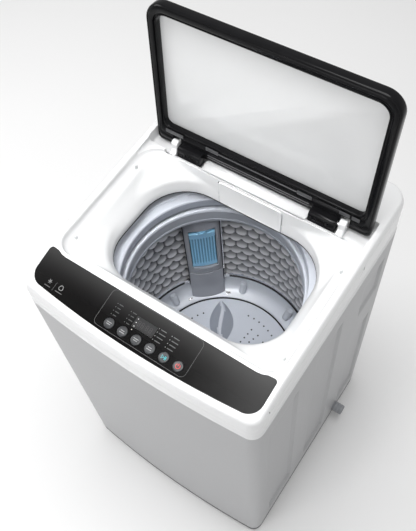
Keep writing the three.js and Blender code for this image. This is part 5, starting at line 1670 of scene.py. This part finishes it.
def leaf(azimuth):
    """One blade, lofted through upright sections along its length."""
    turn = standing(0, DRUM_Y, 0, (math.radians(azimuth), "Z"))
    across = [math.sin(QUARTER * j / 10) for j in range(-10, 11)]
    rings = []
    for i in range(29):
        share = i / 28
        r = LEAF_INNER + LEAF_LONG * share
        swell = max(math.sin(math.pi * share), 0)
        half = 0.8 + 32 * swell ** 0.85
        crest = 1.5 + 27 * swell ** 0.7
        lean = LEAF_LEAN * math.sin(2 * math.pi * share)
        section = []
        for t in across:
            flank = max(1 - math.sqrt(t * t + 0.012), 0)
            section.append((half * t + lean * (1 - abs(t)), dish_height(r) + crest * flank ** 1.15))
        section += [(half, 309), (0, 309), (-half, 309)]
        rings.append([turn @ (Vector((r, x, z)) * MM) for x, z in section])
    return loft(rings)


leaves = joined(*(leaf(BLADE_ANGLE + 120 * i) for i in range(3)))


def leaf_shade(at, normal):
    """Painted light: the crest keeps the pale plastic as a highlight, and the flanks get painted
    shade.
    """
    azimuth = math.degrees(math.atan2(at.y - DRUM_Y, at.x)) - BLADE_ANGLE
    nearest = math.radians((azimuth + 60) % 120 - 60)
    share = (from_drum(at) * math.cos(nearest) - LEAF_INNER) / LEAF_LONG
    off = from_drum(at) * math.sin(nearest) - LEAF_LEAN * math.sin(2 * math.pi * share)
    return int(abs(off) > 5.5)


paint(leaves, tub_pale, tub_painted_shade, pick=leaf_shade)
paint(dish, rotor_grey)
finished(joined(dish, leaves), "pulsator_dish", "agitator", ["pulsator"])

# %% Holes of the pulsator, its seam and its screw
spots = [(149, 94.9 - 6.545 * i) for i in range(12)]
spots += [(r, azimuth) for r in (120, 104.5, 90.5, 75) for azimuth in (82.5, 71.2, 43.1, 31.8)]
spots += [(120, 60), (120, 54.3)]
# The holes are flat black discs: painted shade where a hole would be.
pit = turned([(0, -0.4), (2.3, -0.4), (2.3, 0.25), (0, 0.25)], 12, upright=False)
pits = scattered(pit, [
    standing(*round_drum(r, math.radians(azimuth + third)), dish_height(r) + 0.1)
    for r, azimuth in spots for third in (0, 120, 240)])
finished(paint(pits, black_painted_shade), "pulsator_holes", "agitator", smooth=0)
# A black ring in the gap round the pulsator: painted shade between the parts.
gap_line = turned([(PULSATOR_R + 0.3, 319), (WELL_R - 0.1, 319), (WELL_R + 0.9, 324.9),
                   (WELL_R + 0.3, 325.2), (PULSATOR_R + 0.3, 320)], 144, 0, DRUM_Y)
finished(paint(gap_line, black_painted_shade), "pulsator_gap", "basket", smooth=0)
screw = turned([(0, 304), (4.7, 304), (4.7, 330.3), (13.6, 330.3), (14, 330.8), (14, 333),
                (13.2, 334.6), (10.6, 336.4), (8, 337.2), (0, 338)], 48, 0, DRUM_Y)
cut(screw, *(block(-x, x, DRUM_Y - y, DRUM_Y + y, 335, 340) for x, y in ((8, 1.2), (1.2, 8))))
finished(paint(screw, screw_steel), "pulsator_bolt", "agitator", ["pulsator_screw"])

# %% [markdown]
# ## Under the drum
# These parts show from below, through the base opening: the motor, the two pulleys, the clutch, the
# springs that the tub hangs on, and the drain.

# %% Motor and pulleys
WHEEL_LOW, WHEEL_HIGH = 122, 142


def spun(obj, count, x=0.0):
    """Copies of a mesh set evenly round an upright axis at x, level with the drum's."""
    return scattered(obj, [standing(x, DRUM_Y, 0, (2 * math.pi * i / count, "Z"))
                           for i in range(count)])


motor = turned([(0, 118), (5, 118), (6, 119), (6, 162), (46, 162.7), (50, 164), (55, 171), (56, 174.7),
                (56, 196), (53.6, 198), (53.6, 212), (56, 214), (56, 234.7), (54, 239), (48, 245.5),
                (44, 246.7), (0, 246.7)], 72, MOTOR_X, DRUM_Y)
cut(motor, spun(block(44, 58, -2, 2, 176, 192, local=True), 12, MOTOR_X))
finished(paint(soften(motor, 0.6), zinc), "drive_motor", "tub", ["motor"])


BORE, HUB_R, WEB_R, RIM_R = 10.5, 17.5, 64, 76
big_wheel = turned([
    (BORE, WHEEL_LOW), (HUB_R, WHEEL_LOW), (HUB_R + 1, 125), (WEB_R, 125), (WEB_R + 3, WHEEL_LOW),
    (RIM_R - 1, WHEEL_LOW), (RIM_R, 123), (RIM_R, 128), (RIM_R - 6, 128.4), (RIM_R - 6, 135.6),
    (RIM_R, 136), (RIM_R, 141), (RIM_R - 1, WHEEL_HIGH), (WEB_R + 3, WHEEL_HIGH), (WEB_R, 137),
    (HUB_R + 1, 137), (HUB_R, WHEEL_HIGH), (BORE, WHEEL_HIGH)], 72, 0, DRUM_Y)
for i in range(6):
    x, y = round_drum((HUB_R + 1 + WEB_R) / 2, math.pi * i / 3)
    cut(big_wheel, rod((RIM_R - BORE - 20) * 0.28, (x, y, 120), (x, y, 144), 32))
finished(paint(soften(big_wheel, 0.5), cast_metal), "clutch_wheel_casting", "clutch_wheel",
         ["clutch_pulley"])
small_wheel = turned([
    (6.5, WHEEL_LOW), (24, WHEEL_LOW), (25, 123), (25, 128), (19, 128.4), (19, 135.6), (25, 136),
    (25, 141), (24, WHEEL_HIGH), (6.5, WHEEL_HIGH)], 48, MOTOR_X, DRUM_Y)
finished(paint(small_wheel, cast_metal), "motor_wheel_casting", "motor_wheel",
         ["motor_pulley"])

# %% Clutch
clutch = turned([(17.5, 168.7), (50, 168.7), (54, 169.6), (59, 175), (60, 178), (60, 200), (58.6, 201),
                 (58.6, 206), (60, 207), (60, 232), (63, 236), (74, 240.7), (74, 245.7), (73, 246.7),
                 (17.5, 246.7)], 72, 0, DRUM_Y)
webs = spun(soften(block(58, 72, -2, 2, 205, 243, local=True), 1), 8)
finished(paint(joined(clutch, webs), cast_metal), "clutch_casting", "tub",
         ["clutch_housing"])

# %% Springs on the hanger rods
rod_x, rod_front, rod_back = SIDE_X - 38, 37 - BACK_Y, BACK_Y - 73
COIL_TURNS, COIL_STEPS, COIL_R, WIRE_R = 4, 28, 12, 2.4
for end, sign, y in (("front_left", -1, rod_front), ("front_right", 1, rod_front),
                     ("rear_left", -1, rod_back), ("rear_right", 1, rod_back)):
    x = sign * rod_x
    coil = []
    for i in range(COIL_TURNS * COIL_STEPS + 1):
        angle = 2 * math.pi * i / COIL_STEPS
        out, up = Vector((math.cos(angle), math.sin(angle), 0)), Vector((0, 0, 1))
        middle = place(x, y, 239 + 58 * i / (COIL_TURNS * COIL_STEPS))
        coil.append([middle + (out * (COIL_R + WIRE_R * math.cos(t)) + up * WIRE_R * math.sin(t)) * MM
                     for t in (2 * math.pi * k / 10 for k in range(10))])
    spring = finished(paint(loft(coil), screw_steel), f"spring_coil_{end}", None,
                      [f"spring_{end}"], smooth=60)
    place(x, y, 237)
    place(x, y, 299)
    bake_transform(spring)
    hanger = turned([
        (0, 230), (15, 230), (16, 231), (16, 235), (15, 236), (4.4, 236.6), (4, 238), (4, 752.3),
        (9, 752.3), (10, 754), (10, 757.5), (8.6, 760.6), (6, 763.4), (0, 765.3)], 32, x, y)
    finished(paint(hanger, zinc), f"hanger_{end}", "cabinet", [f"rod_{end}"])

# %% [markdown]
# The drain hose leaves the valve on the tub and ends on the spigot in the cabinet's side. Its skin
# is folded everywhere but at its two plain ends.

# %% Drain hose
PLAIN_END = 18
route = [place(*point) for point in (
    (-92, 96, 223.7), (-74, 96, 223.7), (-56, 96, 222.7), (3, 136, 183.7), (68, 156, 122),
    (169.7, 144, 70), (219.7, 131, SPIGOT_Z), (239.7, SPIGOT_Y, SPIGOT_Z),
    (259.7, SPIGOT_Y, SPIGOT_Z))]
line = [ring[0] for ring in curve_through([[point] for point in route], 14)]
outside, inside = [], []
for index, point in enumerate(line):
    along = (line[min(index + 1, len(line) - 1)] - line[max(index - 1, 0)]).normalized()
    up = (Vector((0, 0, 1)) - along * along.z).normalized()
    across = along.cross(up)
    fold = 0.6 * (-1) ** index if PLAIN_END <= index <= len(line) - PLAIN_END else 0.0
    for rings_made, r in ((outside, 12.4 + fold), (inside, 11.1)):
        rings_made.append([point + (up * math.cos(t) + across * math.sin(t)) * r * MM
                           for t in (2 * math.pi * k / 20 for k in range(20))])
hose = loft(outside + inside[::-1], closed=True)
finished(paint(hose, spigot_grey), "corrugated_hose", None, ["drain_hose"])
place(175, 144, 70)
place(-56, 96, 222.7)
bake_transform(hose)

# %% Drain spigot and cable gland
spigot = turned([
    (11, -24), (12.6, -24), (12.9, -22), (12.9, -7), (19, -7), (19, -3), (14, -3), (14, 4),
    (15, 5.4), (14, 8.6), (14, 12), (15, 13.4), (14, 16.6), (14, 20), (14.6, 21.4), (14, 24.6),
    (13.6, 28), (12, 28), (12, 0), (11, -4)], 48, upright=False)
moved(spigot, standing(SIDE_X, SPIGOT_Y, SPIGOT_Z, (QUARTER, "Y")))
finished(paint(spigot, spigot_grey), "spigot_moulding", "cabinet", ["drain_spigot"])
gland = turned([
    (4.5, -8), (8.7, -8), (8.7, 0), (13.4, 0), (13.7, 0.4), (13.7, 3), (12.8, 4.4), (9.8, 8.8),
    (9, 9), (5, 9), (4.5, 8.4)], 40, upright=False)
moved(gland, standing(CORD_X, BACK_Y + 1.6, CORD_Z, (-QUARTER, "X")))
finished(paint(gland, rubber), "gland_collar", "cabinet", ["cable_gland"])

# %% [markdown]
# ## What stays, and the floor
# A piece that stays as the working model has it still gets a finish of its own. The floor is wide,
# pale and plain.

# %% Finishes of the pieces that stay
STAYS = {
    light_grey: ("outer_tub", "capacitor"),
    zinc: ("bracket_front_left", "bracket_front_right", "bracket_rear_left", "bracket_rear_right",
           "mounting_plate"),
    screw_steel: ("drive_shaft",),
    cast_metal: ("spin_shaft",),
    rubber: ("drive_belt",),
    charcoal: ("drain_valve", "lid_switch"),
    white_inner: ("water_inlet_valve",),
    board_green: ("control_board",),
}
for material, names in STAYS.items():
    for name in names:
        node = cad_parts[name]
        for index in range(len(node.material_slots)):
            node.material_slots[index].material = material
        if not node.material_slots:
            node.data.materials.append(material)
        print(name, "is", material.name)

# %% Floor
deselect()
bpy.ops.mesh.primitive_plane_add(size=14, location=(0, 0, -0.0005))
floor = bpy.context.object
floor.name = "studio_floor"
floor_paint = Paint("studio_floor")
cloud = floor_paint.noise(1.2, detail=2)
floor_paint.set(Base_Color=floor_paint.mix(cloud, (0.86, 0.86, 0.86), (0.9, 0.9, 0.9)),
                Roughness=0.7 + cloud * 0.1)
paint(floor, floor_paint.material)
